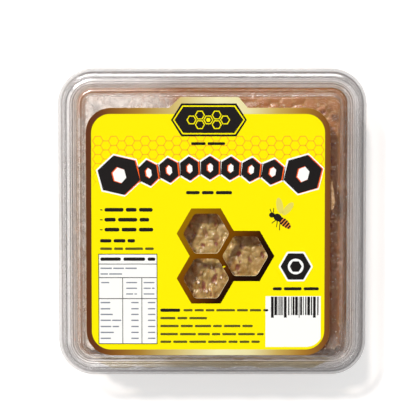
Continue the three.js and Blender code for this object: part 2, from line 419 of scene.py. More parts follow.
def beads(centres, radii, squash, rings=6, columns=8, rough=0.0, seed=1):
    """Many small round bodies in one mesh: for each, rings from pole to pole at radius times the
    sine and cosine of latitude, squashed in height and roughened by one random number a point."""
    lat = np.linspace(0, np.pi, rings + 1)[1:-1, None]
    lon = np.linspace(0, 2 * np.pi, columns, endpoint=False)
    grid = [np.sin(lat) * np.cos(lon), np.sin(lat) * np.sin(lon), -np.cos(lat) + 0 * lon]
    unit = np.concatenate([np.stack(grid, 2).reshape(-1, 3), [[0, 0, -1], [0, 0, 1]]])
    many, each = len(centres), len(unit)
    shape = np.random.default_rng(seed).uniform(1 - rough, 1 + rough, (many, each, 1)) * unit
    shape = shape * np.asarray(radii)[:, None, None] * np.array([1, 1, squash])
    points = (shape + np.asarray(centres)[:, None, :]).reshape(-1, 3)
    step = (np.arange(many) * each)[:, None, None]
    quads, tris = ring_faces(rings - 1, columns) + step, fans(rings - 1, columns) + step
    return points, quads.reshape(-1, 4), tris.reshape(-1, 3)


# ---- Shader nodes ----


class Nodes:
    """A tree of shader nodes, with short ways to add and join them."""

    def __init__(self, tree):
        self.tree = tree
        tree.nodes.clear()

    def new(self, kind, **settings):
        """Adds a node of a kind."""
        node = self.tree.nodes.new("ShaderNode" + kind)
        for key, value in settings.items():
            setattr(node, key, value)
        return node

    def put(self, value, socket):
        """Joins another node's output to a socket, or sets the socket to a number or colour."""
        if isinstance(value, bpy.types.NodeSocket):
            self.tree.links.new(value, socket)
        else:
            socket.default_value = (*tuple(value)[:3], 1.0) if socket.type == "RGBA" else value

    def math(self, kind, *values, **settings):
        """A number worked out from values, each a number or another node's output."""
        node = self.new("Math", operation=kind, **settings)
        for value, socket in zip(values, node.inputs):
            self.put(value, socket)
        return node.outputs[0]

    def blend(self, factor, a, b, kind="MIX"):
        """A colour between a and b, each a colour or another node's output."""
        node = self.new("Mix", data_type="RGBA", blend_type=kind)
        for value, number in ((factor, 0), (a, 6), (b, 7)):
            self.put(value, node.inputs[number])
        return node.outputs[2]

    def remap(self, value, *ends, **settings):
        """A value carried from one range to another: from low, from high, to low, to high."""
        node = self.new("MapRange", **settings)
        for key, end in zip(("Value", "From Min", "From Max", "To Min", "To Max"), (value, *ends)):
            self.put(end, node.inputs[key])
        return node.outputs["Result"]

    def spread(self, value, low, high):
        """A value from 0 to 1 remapped to run from low to high."""
        return self.remap(value, 0.0, 1.0, low, high)

    def axis(self, vector, letter):
        """One of a vector's three numbers."""
        node = self.new("SeparateXYZ")
        self.put(vector, node.inputs[0])
        return node.outputs[letter]

    def along(self, vector, direction):
        """How far a vector goes along a direction."""
        node = self.new("VectorMath", operation="DOT_PRODUCT")
        self.put(vector, node.inputs[0])
        self.put(direction, node.inputs[1])
        return node.outputs["Value"]


def patches_group():
    """Patches: noise on a given place, spread between a low and a high level, as a mask, and the
    same noise as a height."""
    if "Patches" in bpy.data.node_groups:
        return bpy.data.node_groups["Patches"]
    tree = bpy.data.node_groups.new("Patches", "ShaderNodeTree")
    tree.interface.new_socket("Vector", in_out="INPUT", socket_type="NodeSocketVector")
    for label, default in (("Scale", 100.0), ("Detail", 3.0), ("Low", 0.4), ("High", 0.6)):
        socket = tree.interface.new_socket(label, in_out="INPUT", socket_type="NodeSocketFloat")
        socket.default_value = default
    for label in ("Mask", "Height"):
        tree.interface.new_socket(label, in_out="OUTPUT", socket_type="NodeSocketFloat")
    nodes = Nodes(tree)
    given, out = tree.nodes.new("NodeGroupInput").outputs, tree.nodes.new("NodeGroupOutput").inputs
    noise = nodes.new("TexNoise")
    for key in ("Vector", "Scale", "Detail"):
        nodes.put(given[key], noise.inputs[key])
    mask = nodes.remap(noise.outputs[0], given["Low"], given["High"], interpolation_type="SMOOTHSTEP")
    nodes.put(mask, out["Mask"])
    nodes.put(noise.outputs[0], out["Height"])
    return tree


class Paint(Nodes):
    """One material: a Principled shader and what is joined to its sockets."""

    def __init__(self, name, **values):
        self.material = bpy.data.materials.new(name)
        self.material.use_nodes = True
        super().__init__(self.material.node_tree)
        self.surface = self.new("OutputMaterial").inputs["Surface"]
        self.body = self.new("BsdfPrincipled")
        self.place = self.new("TexCoord").outputs["Object"]
        self.put(self.body.outputs[0], self.surface)
        self.set(**values)

    def set(self, **values):
        """Sets or joins the shader's sockets, named with _ for a space."""
        for key, value in values.items():
            self.put(value, self.body.inputs[key.replace("_", " ")])

    def patches(self, scale, low=0.4, high=0.6, detail=3.0):
        """The mask and the height of patches on the object's own place."""
        node = self.new("Group", node_tree=patches_group())
        for value, socket in zip((self.place, scale, detail, low, high), node.inputs):
            self.put(value, socket)
        return node.outputs["Mask"], node.outputs["Height"]

    def attribute(self, name):
        return self.new("Attribute", attribute_name=name).outputs["Fac"]

    def bump(self, height, strength, distance_mm):
        """Makes the surface look raised by a height from 0 to 1 of some distance."""
        node = self.new("Bump")
        for key, value in (("Strength", strength), ("Distance", distance_mm * MM), ("Height", height)):
            self.put(value, node.inputs[key])
        self.set(Normal=node.outputs[0])

    def ramp(self, value, stops):
        """Colour by a value from 0 to 1, through stops of a place and a colour or grey."""
        ramp = self.new("ValToRGB")
        self.put(value, ramp.inputs[0])
        bands = ramp.color_ramp.elements
        while len(bands) < len(stops):
            bands.new(0.5)
        for band, (where, shade) in zip(bands, stops):
            band.position = where
            band.color = (*np.resize(shade, 3), 1.0)
        return ramp.outputs["Color"]

    def ramp_along(self, direction, stops):
        """Colour by place: the distance in millimetres along a direction, through colour stops."""
        first, last = stops[0][0], stops[-1][0]
        value = self.remap(self.along(self.place, direction), first * MM, last * MM)
        return self.ramp(value, [((at - first) / (last - first), linear(*rgb)) for at, rgb in stops])

    def let_lamps_through(self, tint, thin=0.0):
        """Mixes the shader with a clear one: wholly for shadow and diffuse rays, so that lamps
        light what lies behind it, and in part for the rest, as a thin wall bends light little."""
        path, clear, mix = self.new("LightPath"), self.new("BsdfTransparent"), self.new("MixShader")
        self.put(tint, clear.inputs["Color"])
        either = self.math("MAXIMUM", path.outputs["Is Shadow Ray"], path.outputs["Is Diffuse Ray"])
        shares = (self.math("MAXIMUM", either, thin), self.body.outputs[0], clear.outputs[0])
        for value, socket in zip(shares, mix.inputs):
            self.put(value, socket)
        self.put(mix.outputs[0], self.surface)


# The insets in millimetres that the marks of the clear skins run over, from 0 to 1
CREASE_SPAN = 12


def clear_plastic(name, tint, rim_tint_and_shade, creases=(), glints=()):
    """Clear moulded plastic: a grey tint, deeper in its thick rim, partly for the thicker plastic and
    partly as painted shade, and painted shade in dark lines and brown bands at the creases, given for the
    shaded and the lit sides as insets in millimetres and greys or colours, a brighter coat at the glints,
    faint scuffs in its roughness, duller on its steep walls, and a slow ripple."""
    paint = Paint(name, Transmission_Weight=1.0, IOR=1.49)
    scuffs, cloud = paint.patches(260.0, 0.5, 0.75, 5.0)[0], paint.patches(45.0, 0.45, 0.7, 2.0)[0]
    flat, wall, inset = (paint.attribute(key) for key in ("flat", "wall", "inset"))

    def at_insets(stops):
        return paint.ramp(inset, [(at / CREASE_SPAN, shade) for at, shade in stops])

    # The thick rim's deeper grey: partly the thicker plastic, partly painted shade
    rim = paint.math("MULTIPLY", paint.attribute("rim"), flat)
    body = paint.blend(rim, paint.blend(cloud, tint, [v * 0.93 for v in tint]), rim_tint_and_shade)
    if creases:
        # Painted shade at the creases: one ramp for the shaded side, one for the lit side
        crease = paint.blend(paint.attribute("lit_side"), *map(at_insets, creases))
        body = paint.blend(flat, body, crease, "MULTIPLY")
        paint.set(Coat_Weight=at_insets(glints), Coat_IOR=2.1, Coat_Roughness=0.04)
    worn = paint.spread(scuffs, 0.02, 0.08)
    paint.set(Base_Color=body, Roughness=paint.math("MULTIPLY_ADD", wall, 0.03, worn))
    paint.bump(paint.patches(60.0, detail=1.0)[1], 0.3, 0.12)
    paint.let_lamps_through([v**0.5 for v in tint], paint.math("MULTIPLY_ADD", wall, 0.3, 0.22))
    return paint


def wet_wax(name, comb):
    """Beeswax: the colour follows each capping's tone, its openings and where honey soaks it, and
    the honey lies on it as a coat."""
    paint = Paint(name, Coat_Roughness=0.12, Coat_IOR=1.48, Specular_IOR_Level=0.3)
    paint.set(Subsurface_Weight=0.2, Subsurface_Scale=0.003, Subsurface_Radius=(1.0, 0.35, 0.12))
    tone, pit, wet = (paint.attribute(key) for key in ("tone", "pit", "wet"))
    fine, grain = paint.patches(900.0, 0.42, 0.62, 4.0)
    broad = paint.patches(420.0, 0.42, 0.62, 2.0)[0]
    base = paint.blend(tone, comb.wax, comb.pale_wax)
    for mask, amount, darker in ((fine, 0.14, 0.62), (broad, 0.3, 0.75)):
        base = paint.blend(paint.math("MULTIPLY", mask, amount), base, [v * darker for v in comb.wax])
    base = paint.blend(pit, paint.blend(wet, base, comb.honey), comb.hollow)
    paint.set(Base_Color=base, Roughness=paint.spread(fine, 0.42, 0.6))
    paint.set(Coat_Weight=paint.math("MULTIPLY_ADD", wet, 0.4, 0.6))
    paint.bump(grain, 0.35, 0.12)
    return paint


def honey_glass(name, tint, deeper, rough=0.12):
    """Honey: glass of a tint, cloudier and deeper in slow patches."""
    paint = Paint(name, Transmission_Weight=1.0, IOR=1.48)
    cloud, waves = paint.patches(90.0, 0.35, 0.7, 3.0)
    deep = [a * b for a, b in zip(tint, deeper)]
    paint.set(Base_Color=paint.blend(cloud, tint, deep), Roughness=paint.spread(cloud, 0.02, rough))
    paint.bump(waves, 0.25, 0.2)
    paint.let_lamps_through(tint)
    return paint


def painted_haze(name, comb):
    """Painted haze: a pale film under the lid that stands in for a haze of reflected light, thin and
    thick in small patches, as far as its "fog" attribute lets it."""
    paint = Paint(name, Roughness=0.5, Specular_IOR_Level=0.2)
    small, slow = paint.patches(420.0, 0.38, 0.68, 4.0)[0], paint.patches(110.0, 0.35, 0.65, 2.0)[0]
    thick = paint.math("ADD", paint.spread(small, 0.25, 0.65), paint.spread(slow, 0.0, 0.12))
    paint.set(Base_Color=paint.blend(slow, comb.fog, [v * 0.86 for v in comb.fog]))
    paint.set(Alpha=paint.math("MULTIPLY", thick, paint.attribute("fog")))
    return paint


def speckled(name, specks, dark, pale, **values):
    """A material in specks of two colours, and the specks' mask and height."""
    paint = Paint(name, **values)
    mask, height = paint.patches(*specks)
    paint.set(Base_Color=paint.blend(mask, linear(*dark), linear(*pale)))
    return paint, mask, height


def ink(name, ground=None, ramp=None, shine=0.1):
    """Printed ink: one colour or a ramp by place, with a faint press grain."""
    paint = Paint(name, Specular_IOR_Level=shine)
    grain = paint.patches(1500.0, 0.35, 0.7, 2.0)[0]
    base = paint.ramp_along(*ramp) if ramp else ground
    base = paint.blend(paint.math("MULTIPLY", grain, 0.03), base, (1.0, 1.0, 0.9), "MULTIPLY")
    paint.set(Base_Color=base, Roughness=paint.spread(grain, 0.42, 0.5))
    return paint


# ---- The clear box ----


def box_run():
    """Shares of a straight side at which the rings have a column: even, and close about the small
    notch in the skirt."""
    notch, near = 0.1347, np.array([0.0025, 0.005, 0.008, 0.012])
    return np.unique(np.concatenate([np.linspace(0, 1, 29)[1:-1], notch - near, [notch], notch + near]))


def inner_rings(ring, *shares):
    """Copies of a ring drawn in towards the middle by each share."""
    return np.stack([np.column_stack([ring[:, :2] * s, ring[:, 2]]) for s in shares])


def shell(name, rings, box):
    """A closed skin from rings that run from the middle of the underside out, up and back in to the
    middle of the upper side. Its marks are how far each place belongs to the thick outer rim, how steep
    its wall is, its inset, how far it is on the lit side and how far the painted shade of its rim and
    creases shows, less on the steep outer wall and on the outer edge at -X, the lit side."""
    points, quads, tris = tube(rings)
    x, y = points[:, :2].T
    inset = edge_inset(x, y, box)
    rise = np.abs(np.gradient(rings[..., 2], axis=0))
    run = np.linalg.norm(np.gradient(rings[..., :2], axis=0), axis=2)
    steep = np.append(smooth(rise / (rise + run + 1e-9), 0.3, 0.8), [0, 0])
    # Painted light: the outer edge at -X, the lit side, shows less painted shade
    outer_left = (1 - smooth(inset, 1.7, 1.9)) * (1 - smooth(x, -57, -47))
    marks = {
        "rim": 1 - smooth(inset, 2.0, 6.5),
        "wall": steep,
        "inset": inset / CREASE_SPAN,
        "lit_side": smooth(y - x, -25, 25),
        "flat": (1 - 0.85 * steep * (1 - smooth(inset, 2, 3))) * (1 - 0.6 * outer_left),
    }
    return mesh_object(name, points, quads, tris, marks, sharp=32)


class BOX_OT_tub(bpy.types.Operator):
    """Builds the clear tub"""

    bl_idname = "honeycomb_box.tub"
    bl_label = "Clear tub"

    def execute(self, context):
        box = context.scene.honeycomb_box
        wall = box.wall / MM
        foot_edge, lip, flange_edge = 11.3, 2.9, 1.1
        # From the middle of the underside: foot, outer wall, ledge, rim, flange and back inside
        profile = eased(
            [
                (foot_edge, 0), (8.3, 0, 2.4), (WALL_TOP - wall, LEDGE_Z, 0.4),
                (MOUTH - wall, LEDGE_Z + wall, 0.4), (MOUTH - wall, RIM_Z - wall, 0.2),
                (lip + 0.4 + wall, RIM_Z - wall, 0.4), (lip + wall, FLANGE_Z - wall, 0.3),
                (flange_edge, FLANGE_Z - wall, 0.2), (flange_edge, FLANGE_Z, 0.2), (lip, FLANGE_Z, 0.2),
                (lip + 0.2, RIM_Z, 0.35), (MOUTH, RIM_Z, 0.3), (MOUTH, LEDGE_Z + wall, 0.4),
                (WALL_TOP, LEDGE_Z, 0.4), (WALL_FOOT, wall, 1.6), (foot_edge, wall),
            ]
        )
        middles, ways = track(box, 12, box_run())

        def sway(inset, height):
            """Shallow ripples down the drafted wall, from slow hills round the box."""
            side = smooth(height, 2, 6) * (1 - smooth(height, 19, 22))
            wave = hills(middles[:, 0] + ways[:, 0] * 9, middles[:, 1] + height * 0.3, 9.0, 3)
            return inset + 0.05 * side * (wave + 1)

        rings = carried(profile, box, middles, ways, sway)
        foot, floor = inner_rings(rings[0], 0.3, 0.6, 0.85), inner_rings(rings[-1], 0.85, 0.6, 0.3)
        tub = shell("clear_tub", np.concatenate([foot, rings, floor]), box)
        finished(tub, clear_plastic("tub plastic", box.tub_tint, box.rim_tint_and_shade), "tub_plastic", "tub")
        return {"FINISHED"}


# Painted shade at the lid's creases, as greys and browns by inset in millimetres, on the shaded and on
# the lit sides, and where its slopes glint
SHADED_SIDE_PAINTED_SHADE = [
    (0, 0.95), (1.0, 0.95), (1.15, 0.5), (2.2, 0.5), (2.4, 0.95), (6.8, 0.95), (7.0, 0.45), (7.25, 0.8),
    (8.4, 0.85), (8.8, 0.8), (10.2, 0.8), (10.6, 0.6), (11.6, 0.65), (12, 1),
]
LIT_SIDE_PAINTED_SHADE = [
    (0, 0.93), (1.05, 0.93), (1.2, 0.5), (1.66, 0.5), (1.82, 0.97), (3.08, 0.97), (3.22, 0.2),
    (3.42, 0.2), (3.54, 1), (4.7, 1), (4.84, 0.25), (5.02, 0.25), (5.14, 0.95), (5.66, 0.97), (5.8, 0.3),
    (5.96, 0.3), (6.1, 0.95), (6.9, 0.95), (7.15, 0.5), (7.4, (0.62, 0.52, 0.42)),
    (8.2, (0.62, 0.52, 0.42)), (8.3, 0.6), (8.42, 1), (8.7, 1), (8.82, 0.35), (9.0, (0.52, 0.42, 0.31)),
    (9.9, (0.55, 0.44, 0.34)), (10.15, 1),
]
GLINTS = [
    (0, 0), (1.82, 0), (1.9, 0.65), (2.25, 0.65), (2.38, 0), (3.75, 0), (3.85, 1), (4.4, 1), (4.5, 0),
    (8.28, 0), (8.34, 1), (8.74, 1), (8.82, 0), (9.9, 0), (10.05, 0.7), (10.35, 0.7), (10.5, 0),
]


class BOX_OT_lid(bpy.types.Operator):
    """Builds the clear lid with its raised panel"""

    bl_idname = "honeycomb_box.lid"
    bl_label = "Clear lid"

    def execute(self, context):
        box = context.scene.honeycomb_box
        wall, play, top = box.wall / MM, box.play / MM, PANEL_Z
        plug, bead_under, flange_under = MOUTH + play, RIM_Z + play, FLANGE_Z + play
        skirt_z, grooved = 18.9, BEAD_Z - box.groove / MM
        # From the panel's underside out to the skirt, then back over the steps of the bead
        profile = eased(
            [
                (PANEL_EDGE, top - wall), (10.75, top - wall, 0.4), (9.4, CHANNEL_Z - wall, 0.4),
                (plug, CHANNEL_Z - wall, 0.3), (plug, bead_under, 0.3), (3.0 - play, bead_under, 0.3),
                (2.9 - play, flange_under, 0.1), (wall, flange_under, 0.1), (wall, skirt_z, 0.1),
                (0, skirt_z, 0.25), (0, 21.7, 0.35), (1.55, 21.7, 0.1), (1.8, 24.97, 0.1),
                (2.7, grooved, 0.05), (3.2, grooved, 0.05), (3.3, 25.05, 0.03), (3.45, 25.12, 0.03),
                (4.55, 25.44, 0.05), (4.85, 25.44, 0.05), (4.95, 25.2, 0.03), (5.1, 25.3, 0.03),
                (5.75, grooved, 0.05), (5.87, 25.05, 0.03), (6.9, 25.0, 0.1), (7.15, CHANNEL_Z, 0.1),
                (8.3, CHANNEL_Z, 0.05), (8.75, 24.66, 0.05), (8.8, 24.6, 0.03), (9.0, 24.8, 0.1),
                (10.0, top, 0.4), (PANEL_EDGE, top),
            ]
        )
        middles, ways = track(box, 12, box_run())
        x, y = (middles + ways * 10).T

        def sway(inset, height):
            """The panel's wall ripples by slow hills round the box, and the skirt has a small notch
            on its +Y side."""
            on_wall = smooth(height, 24.6, 26.5) * (1 - smooth(height, 28.2, 29.3))
            inset = inset + 0.12 * on_wall * hills(x, y, 7.0, 5)
            notch = np.exp(-(((x - 35) / 0.55) ** 2)) * (y > 40)
            outer = (1 - smooth(inset, 0.4, 1.2)) * smooth(height, 20.6, 21.4)
            return inset + 0.45 * notch * outer

        rings = carried(profile, box, middles, ways, sway)
        under = inner_rings(rings[0], 0.3, 0.5, 0.7, 0.82, 0.9, 0.96)
        over = inner_rings(rings[-1], 0.975, 0.95, 0.92, 0.89, 0.85, 0.8, 0.7, 0.5, 0.3)
        rings = np.concatenate([under, rings, over])
        # Slow hills dip both faces of the panel, less towards its edge
        x, y, z = (rings[..., k] for k in range(3))
        dip = 0.5 * box.ripple / MM * (1 + hills(x, y, 6.5, 11))
        inward = smooth(HALF_SIDE - np.maximum(abs(x), abs(y)), 10.6, PANEL_EDGE)
        rings[..., 2] -= smooth(z, top - wall - 0.05, top - wall - 0.01) * dip * inward
        lid = shell("clear_lid", rings, box)
        creases = SHADED_SIDE_PAINTED_SHADE, LIT_SIDE_PAINTED_SHADE
        plastic = clear_plastic("lid plastic", box.lid_tint, box.rim_tint_and_shade, creases, GLINTS)
        finished(lid, plastic, "lid_plastic", "lid")
        return {"FINISHED"}


# ---- The comb ----

# Openings in the cappings that show through the label's windows: middle, half length, half width,
# turn in degrees and how dark
SEEN_OPENINGS = [
    (-2.8, -4.2, 1.8, 1.0, 102, 0.55), (-3.8, -9.2, 0.9, 0.8, 0, 1.0), (1.4, -0.7, 0.95, 0.65, 90, 0.9),
    (1.7, -6.2, 1.4, 1.2, 90, 0.45), (1.6, -8.6, 0.9, 0.7, 90, 1.0), (-7.4, -5.2, 1.4, 0.5, 60, 0.8),
    (10.7, -12.6, 1.2, 1.0, 90, 1.0), (10.3, -18.1, 1.3, 0.85, 90, 1), (11.3, -15.9, 0.6, 0.6, 0, 0.8),
    (15.2, -15.1, 1.35, 0.6, -59, 1), (20.2, -13.1, 1.4, 0.65, -75, 1), (10.7, -20.5, 0.5, 0.45, 0, 1),
    (12.0, -9.6, 1.4, 1.0, 90, 0.7), (0.9, -22.7, 2.1, 0.95, 62, 1.0), (-3.5, -25.7, 2.1, 0.8, 95, 1.0),
    (-4.9, -27.1, 1.2, 0.45, -59, 0.7), (0.9, -19, 1.5, 0.42, 105, 0.8), (-4.9, -21.2, 0.5, 0.5, 0, 0.9),
    (-2.8, -17.5, 0.8, 0.55, 0, 0.9), (-0.5, -29.2, 0.9, 0.45, 90, 0.8), (4.7, -21.0, 0.8, 0.55, 90, 0.5),
]
WINDOWS_MIDDLE = (2.7, -12.65)


def nearest_cell(x, y, cell):
    """On a lattice of hexagons with two level sides: the number of the nearest one, the place
    from its middle, and the hexagonal distance, 0 in the middle and 1 on an edge."""
    column = cell * math.cos(math.pi / 6)
    # Cells are numbered along columns, from well outside the box
    before, stride = 60, 131
    best = np.full(x.shape, np.inf)
    number, u, v = np.zeros(x.shape, int), np.zeros(x.shape), np.zeros(x.shape)
    for step in (-1, 0, 1):
        i = np.round(x / column) + step
        half = (i % 2) / 2
        j = np.round(y / cell - half)
        du, dv = x - i * column, y - (j + half) * cell
        slant = np.abs(du) * math.cos(math.pi / 6) + np.abs(dv) / 2
        far = np.maximum(slant, np.abs(dv)) * 2 / cell
        near = far < best
        best = np.where(near, far, best)
        number = np.where(near, ((i + before) * stride + (j + before)).astype(int), number)
        u, v = np.where(near, du, u), np.where(near, dv, v)
    return number, u, v, best


def cell_draws(number, first_seed, count):
    """For each cell some random numbers from 0 to 1."""
    size = 20000
    return [np.random.default_rng(first_seed + k).random(size)[number % size] for k in range(count)]


def cappings(x, y, box, comb):
    """Height, tone, opening and wetness of the comb's face at each place. The height is a slow
    wave, plus for each cell a dome of 1 − d³ for hexagonal distance d, tilted at random, plus two
    sizes of lumps, the size of hills without their sign so that creases part them, less an oval
    opening in some cells and in the places that show."""
    wx = x + 0.45 * hills(x, y, 5.0, 21) + 0.18 * hills(x, y, 1.7, 22)
    wy = y + 0.45 * hills(x, y, 5.0, 23) + 0.18 * hills(x, y, 1.7, 24)
    c, s = math.cos(math.radians(2)), math.sin(math.radians(2))
    number, u, v, far = nearest_cell(wx * c - wy * s, wx * s + wy * c, comb.cell / MM)
    draw = cell_draws(number, 30, 9)
    wave = 0.2 * np.sin(x / 11 + 1) * np.cos(y / 14)
    dome = comb.dome / MM * (0.35 + 0.9 * draw[0]) * (1 - far**3)
    sunk = 0.35 * (draw[1] < 0.18) * (1 - far**2)
    tilt = 0.16 * ((draw[2] - 0.5) * u + (draw[3] - 0.5) * v)
    lumps = 0.5 * np.abs(hills(wx, wy, 2.7, 25)) + 0.26 * np.abs(hills(wx, wy, 1.5, 26)) - 0.21
    pale_spot = smooth(hills(x, y, 1.25, 35), 0.45, 0.8)
    crease = 0.12 * smooth(far, 0.8, 0.98)
    # Openings: an oval, turned and set off the middle at random, away from the windows
    away = smooth(np.hypot(x - WINDOWS_MIDDLE[0], y - WINDOWS_MIDDLE[1]), 21.0, 24.0)
    open_here = (draw[4] < comb.pit_share) * away
    spin = math.tau * draw[5]
    ou, ov = u - 1.1 * (draw[6] - 0.5), v - 1.1 * (draw[7] - 0.5)
    a = ou * np.cos(spin) + ov * np.sin(spin)
    b = -ou * np.sin(spin) + ov * np.cos(spin)
    wide = 0.78 + 0.4 * draw[8]
    ragged = hills(x, y, 0.7, 27)
    oval_far = np.hypot(a / (wide * (1.2 + 0.6 * draw[1])), b / wide) + 0.16 * ragged
    pit = open_here * (1 - smooth(oval_far, 0.7, 1.05))
    lip = open_here * 0.16 * np.exp(-(((oval_far - 1.25) / 0.25) ** 2))
    second_far = np.hypot(u + 1.1, v - 0.9) + 0.2 * hills(x, y, 0.6, 28)
    pit = np.maximum(pit, 0.8 * away * (draw[6] < 0.25) * (1 - smooth(second_far, 0.4, 0.7)))
    for px, py, half_long, half_wide, degrees, dark in SEEN_OPENINGS:
        c, s = math.cos(math.radians(degrees)), math.sin(math.radians(degrees))
        a, b = (x - px) * c + (y - py) * s, (y - py) * c - (x - px) * s
        far_out = np.hypot(a / half_long, b / half_wide) + 0.12 * ragged
        pit = np.maximum(pit, dark * (1 - smooth(far_out, 0.85, 1.2)))
        lip = np.maximum(lip, 0.12 * np.exp(-(((far_out - 1.4) / 0.25) ** 2)))
    # Honey levels the relief near the wall
    edge, slow = edge_inset(x, y, box), hills(x, y, 6.0, 29)
    round_off = 0.5 * (1 - smooth(edge, 7.8, 8.7)) ** 2
    calm = 0.3 + 0.7 * smooth(edge + 1.5 * slow, 9.5, 17.5)
    relief = dome - sunk + tilt + lumps + 0.1 * pale_spot - crease + lip
    height = comb.top / MM + wave + 0.25 * (1 - calm) + calm * relief - 0.35 * pit - round_off
    pit = pit * smooth(edge + 1.5 * hills(x, y, 3.0, 33), 10.0, 17.0)
    wet = 1 - smooth(edge + 2.5 * slow + 0.9 * hills(x, y, 1.6, 31), 15.5, 20.0)
    wet = np.clip(0.95 * wet + 0.2 * smooth(hills(x, y, 8.0, 32), 0.2, 0.8), 0, 1)
    wet = wet * (1 - 0.4 * smooth(far, 0.86, 0.97))
    # Tone: paler on lumps, domes and pale spots, darker in the creases between, partly the wax's own tone
    # and partly painted highlight and shade
    tone = 0.4 + 0.3 * (draw[3] - 0.5) + 2.0 * lumps + 0.2 * dome + 0.5 * pale_spot
    return height, np.clip(tone + 0.25 * hills(x, y, 3.2, 34), 0, 1), pit, wet


def square_rings(count, box, inset):
    """A square grid, closer near its middle, bent to the comb's outline. A point lies on the square
    ring of half size k; its way along that ring's side, by length, is followed along a side of the
    round square of the same size, whose corner arcs meet at 45 degrees."""
    closer = 0.09
    line = np.linspace(-1, 1, count + 1)
    line = line - closer * np.sin(math.pi * line)
    a, b = np.meshgrid(line, line, indexing="ij")
    k = np.maximum(np.maximum(abs(a), abs(b)), 1e-9)
    half = HALF_SIDE - inset
    r = (box.corner / MM - inset) / half
    along_x = abs(b) > abs(a)
    share_along = np.where(along_x, a, b) / k
    s = abs(share_along) * (1 - r + r * math.pi / 4)
    bend = np.maximum(s - (1 - r), 0) / r
    out = np.where(bend > 0, 1 - r + r * np.cos(bend), 1)
    along = np.sign(share_along) * np.where(bend > 0, 1 - r + r * np.sin(bend), s)
    x = np.where(along_x, along, np.sign(a) * out)
    y = np.where(along_x, np.sign(b) * out, along)
    return x * k * half, y * k * half


def rim_numbers(count):
    """Numbers of the grid's outer points, once round, anticlockwise seen from above."""
    n, i = count + 1, np.arange(count)
    return np.concatenate([i * n, count * n + i, (count - i) * n + count, count - i])


# How far the comb's foot is drawn in by its rounding
FOOT_ROUNDING = 1.7


def leaning(z, foot, top):
    """The inset at a height of a wall that leans from one inset at the floor to one at the ledge."""
    return foot + (z - FLOOR_Z) / (LEDGE_Z - FLOOR_Z) * (top - foot)


def side_inset(z):
    """The comb's side leans with the tub's wall, a little inside it."""
    return leaning(z, 9.35, 7.8)


def cut_cells(s, z, around, comb):
    """Depth, tone, opening and wetness of the cut sides at each length s round the comb and
    height z. Cells of two layers stand on end, half a cell apart, between walls of wax; each is
    hollow by 1 − w⁴ for the distance w from its middle, less near the midrib and the cappings."""
    cells = 84
    rib = comb.midrib / MM + 0.35 * np.sin(s * 1.3)
    upper = z > rib
    along = s / around * cells + 0.5 * upper + 0.16 * hills(s, z * 0.35, 4.0, 41)
    draw = cell_draws(np.floor(along).astype(int) % cells + 100 * upper, 50, 3)
    w = np.abs(along - np.floor(along) - 0.5) * 2
    ends = smooth(np.abs(z - rib), 0.25, 1.3) * (1 - smooth(z, 20.6, 21.6)) * smooth(z, 1.4, 2.4)
    hollow = (1 - np.clip(w / 0.86, 0, 1) ** 4) * ends
    lumps = 0.09 * hills(s, z, 1.3, 42) + 0.05 * hills(s, z, 0.6, 43)
    depth = (0.25 + 1.0 * draw[0]) * hollow - lumps + 0.1
    wall = 1 - smooth(hollow, 0.05, 0.55)
    tone = np.clip(0.35 + 0.5 * wall + 0.3 * (draw[1] - 0.5) + lumps * 2, 0, 1)
    pit = np.clip(0.45 * smooth(depth, 0.45, 1.05) * (0.3 + 0.7 * draw[2]), 0, 1)
    wet = np.clip(0.7 - 0.65 * wall + 0.4 * hills(s, z, 5.0, 44), 0, 1)
    return depth, tone, pit, wet


def layer(name, count, low, high, rows, box, comb, face_up):
    """One closed layer of comb between two heights: a grid with the relief of the cappings on the
    face that it turns outwards, a flat fan on the other, and rows of cut cells between them."""
    x, y = square_rings(count, box, side_inset(high))
    rim = rim_numbers(count)
    number = len(rim)
    outline = np.stack([x.ravel()[rim], y.ravel()[rim]], 1)
    reach = HALF_SIDE - box.corner / MM
    middle = np.clip(outline, -reach, reach)
    way = outline - middle
    way /= np.linalg.norm(way, axis=1)[:, None]
    step = np.linalg.norm(np.roll(outline, -1, 0) - outline, axis=1)
    along = np.concatenate([[0], np.cumsum(step)[:-1]])
    down = np.linspace(0, 1, rows + 1)[:, None]

    if face_up:
        face_z, *face_marks = cappings(x, y, box, comb)
        edge_z = face_z.ravel()[rim]
        z = edge_z + (low - edge_z) * down[1:]
        fade = smooth(down[1:], 0, 0.16)
    else:
        shrink = (HALF_SIDE - side_inset(low) - FOOT_ROUNDING) / (HALF_SIDE - side_inset(high))
        x, y = x * shrink, y * shrink
        pressed, *face_marks = cappings(x + 3.1, y + 1.7, box, comb)
        face_z = low - np.clip(pressed - comb.top / MM + 0.25, -0.9, 0.05) * 0.55 - 0.03
        face_marks[2] = np.clip(0.55 * face_marks[2] + 0.3 + 0.25 * hills(x, y, 3.0, 36), 0, 1)
        z = low + (high - low) * np.repeat(down, number, 1)
        fade = 1.0

    depth, *side_marks = cut_cells(along + 0 * z, z, step.sum(), comb)
    inset = side_inset(z) + depth * fade + FOOT_ROUNDING * (1 - smooth(z, 0.7, 2.2)) ** 2
    sides = placed(inset, z, box, middle, way)
    face = np.stack([x, y, face_z], 2).reshape(-1, 3)
    points = np.concatenate([face, sides.reshape(-1, 3), [[0, 0, z[-1, 0]]]])
    first = len(face) + np.arange(number)
    last, centre = first + (len(z) - 1) * number, len(points) - 1
    seam = np.stack([rim, first, np.roll(first, -1), np.roll(rim, -1)], 1)
    side_faces = ring_faces(len(z), number)[:, ::-1] + len(face)
    quads = np.concatenate([grid_faces(count + 1, count + 1), seam, side_faces])
    fan = np.stack([np.full(number, centre), np.roll(last, -1), last], 1)
    if not face_up:
        quads, fan = quads[:, ::-1], fan[:, ::-1]
    marks = {
        key: np.concatenate([on_face.ravel(), on_side.ravel(), [0.4]])
        for key, on_face, on_side in zip(("tone", "pit", "wet"), face_marks, side_marks)
    }
    return mesh_object(name, points, quads, fan, marks, sharp=180)


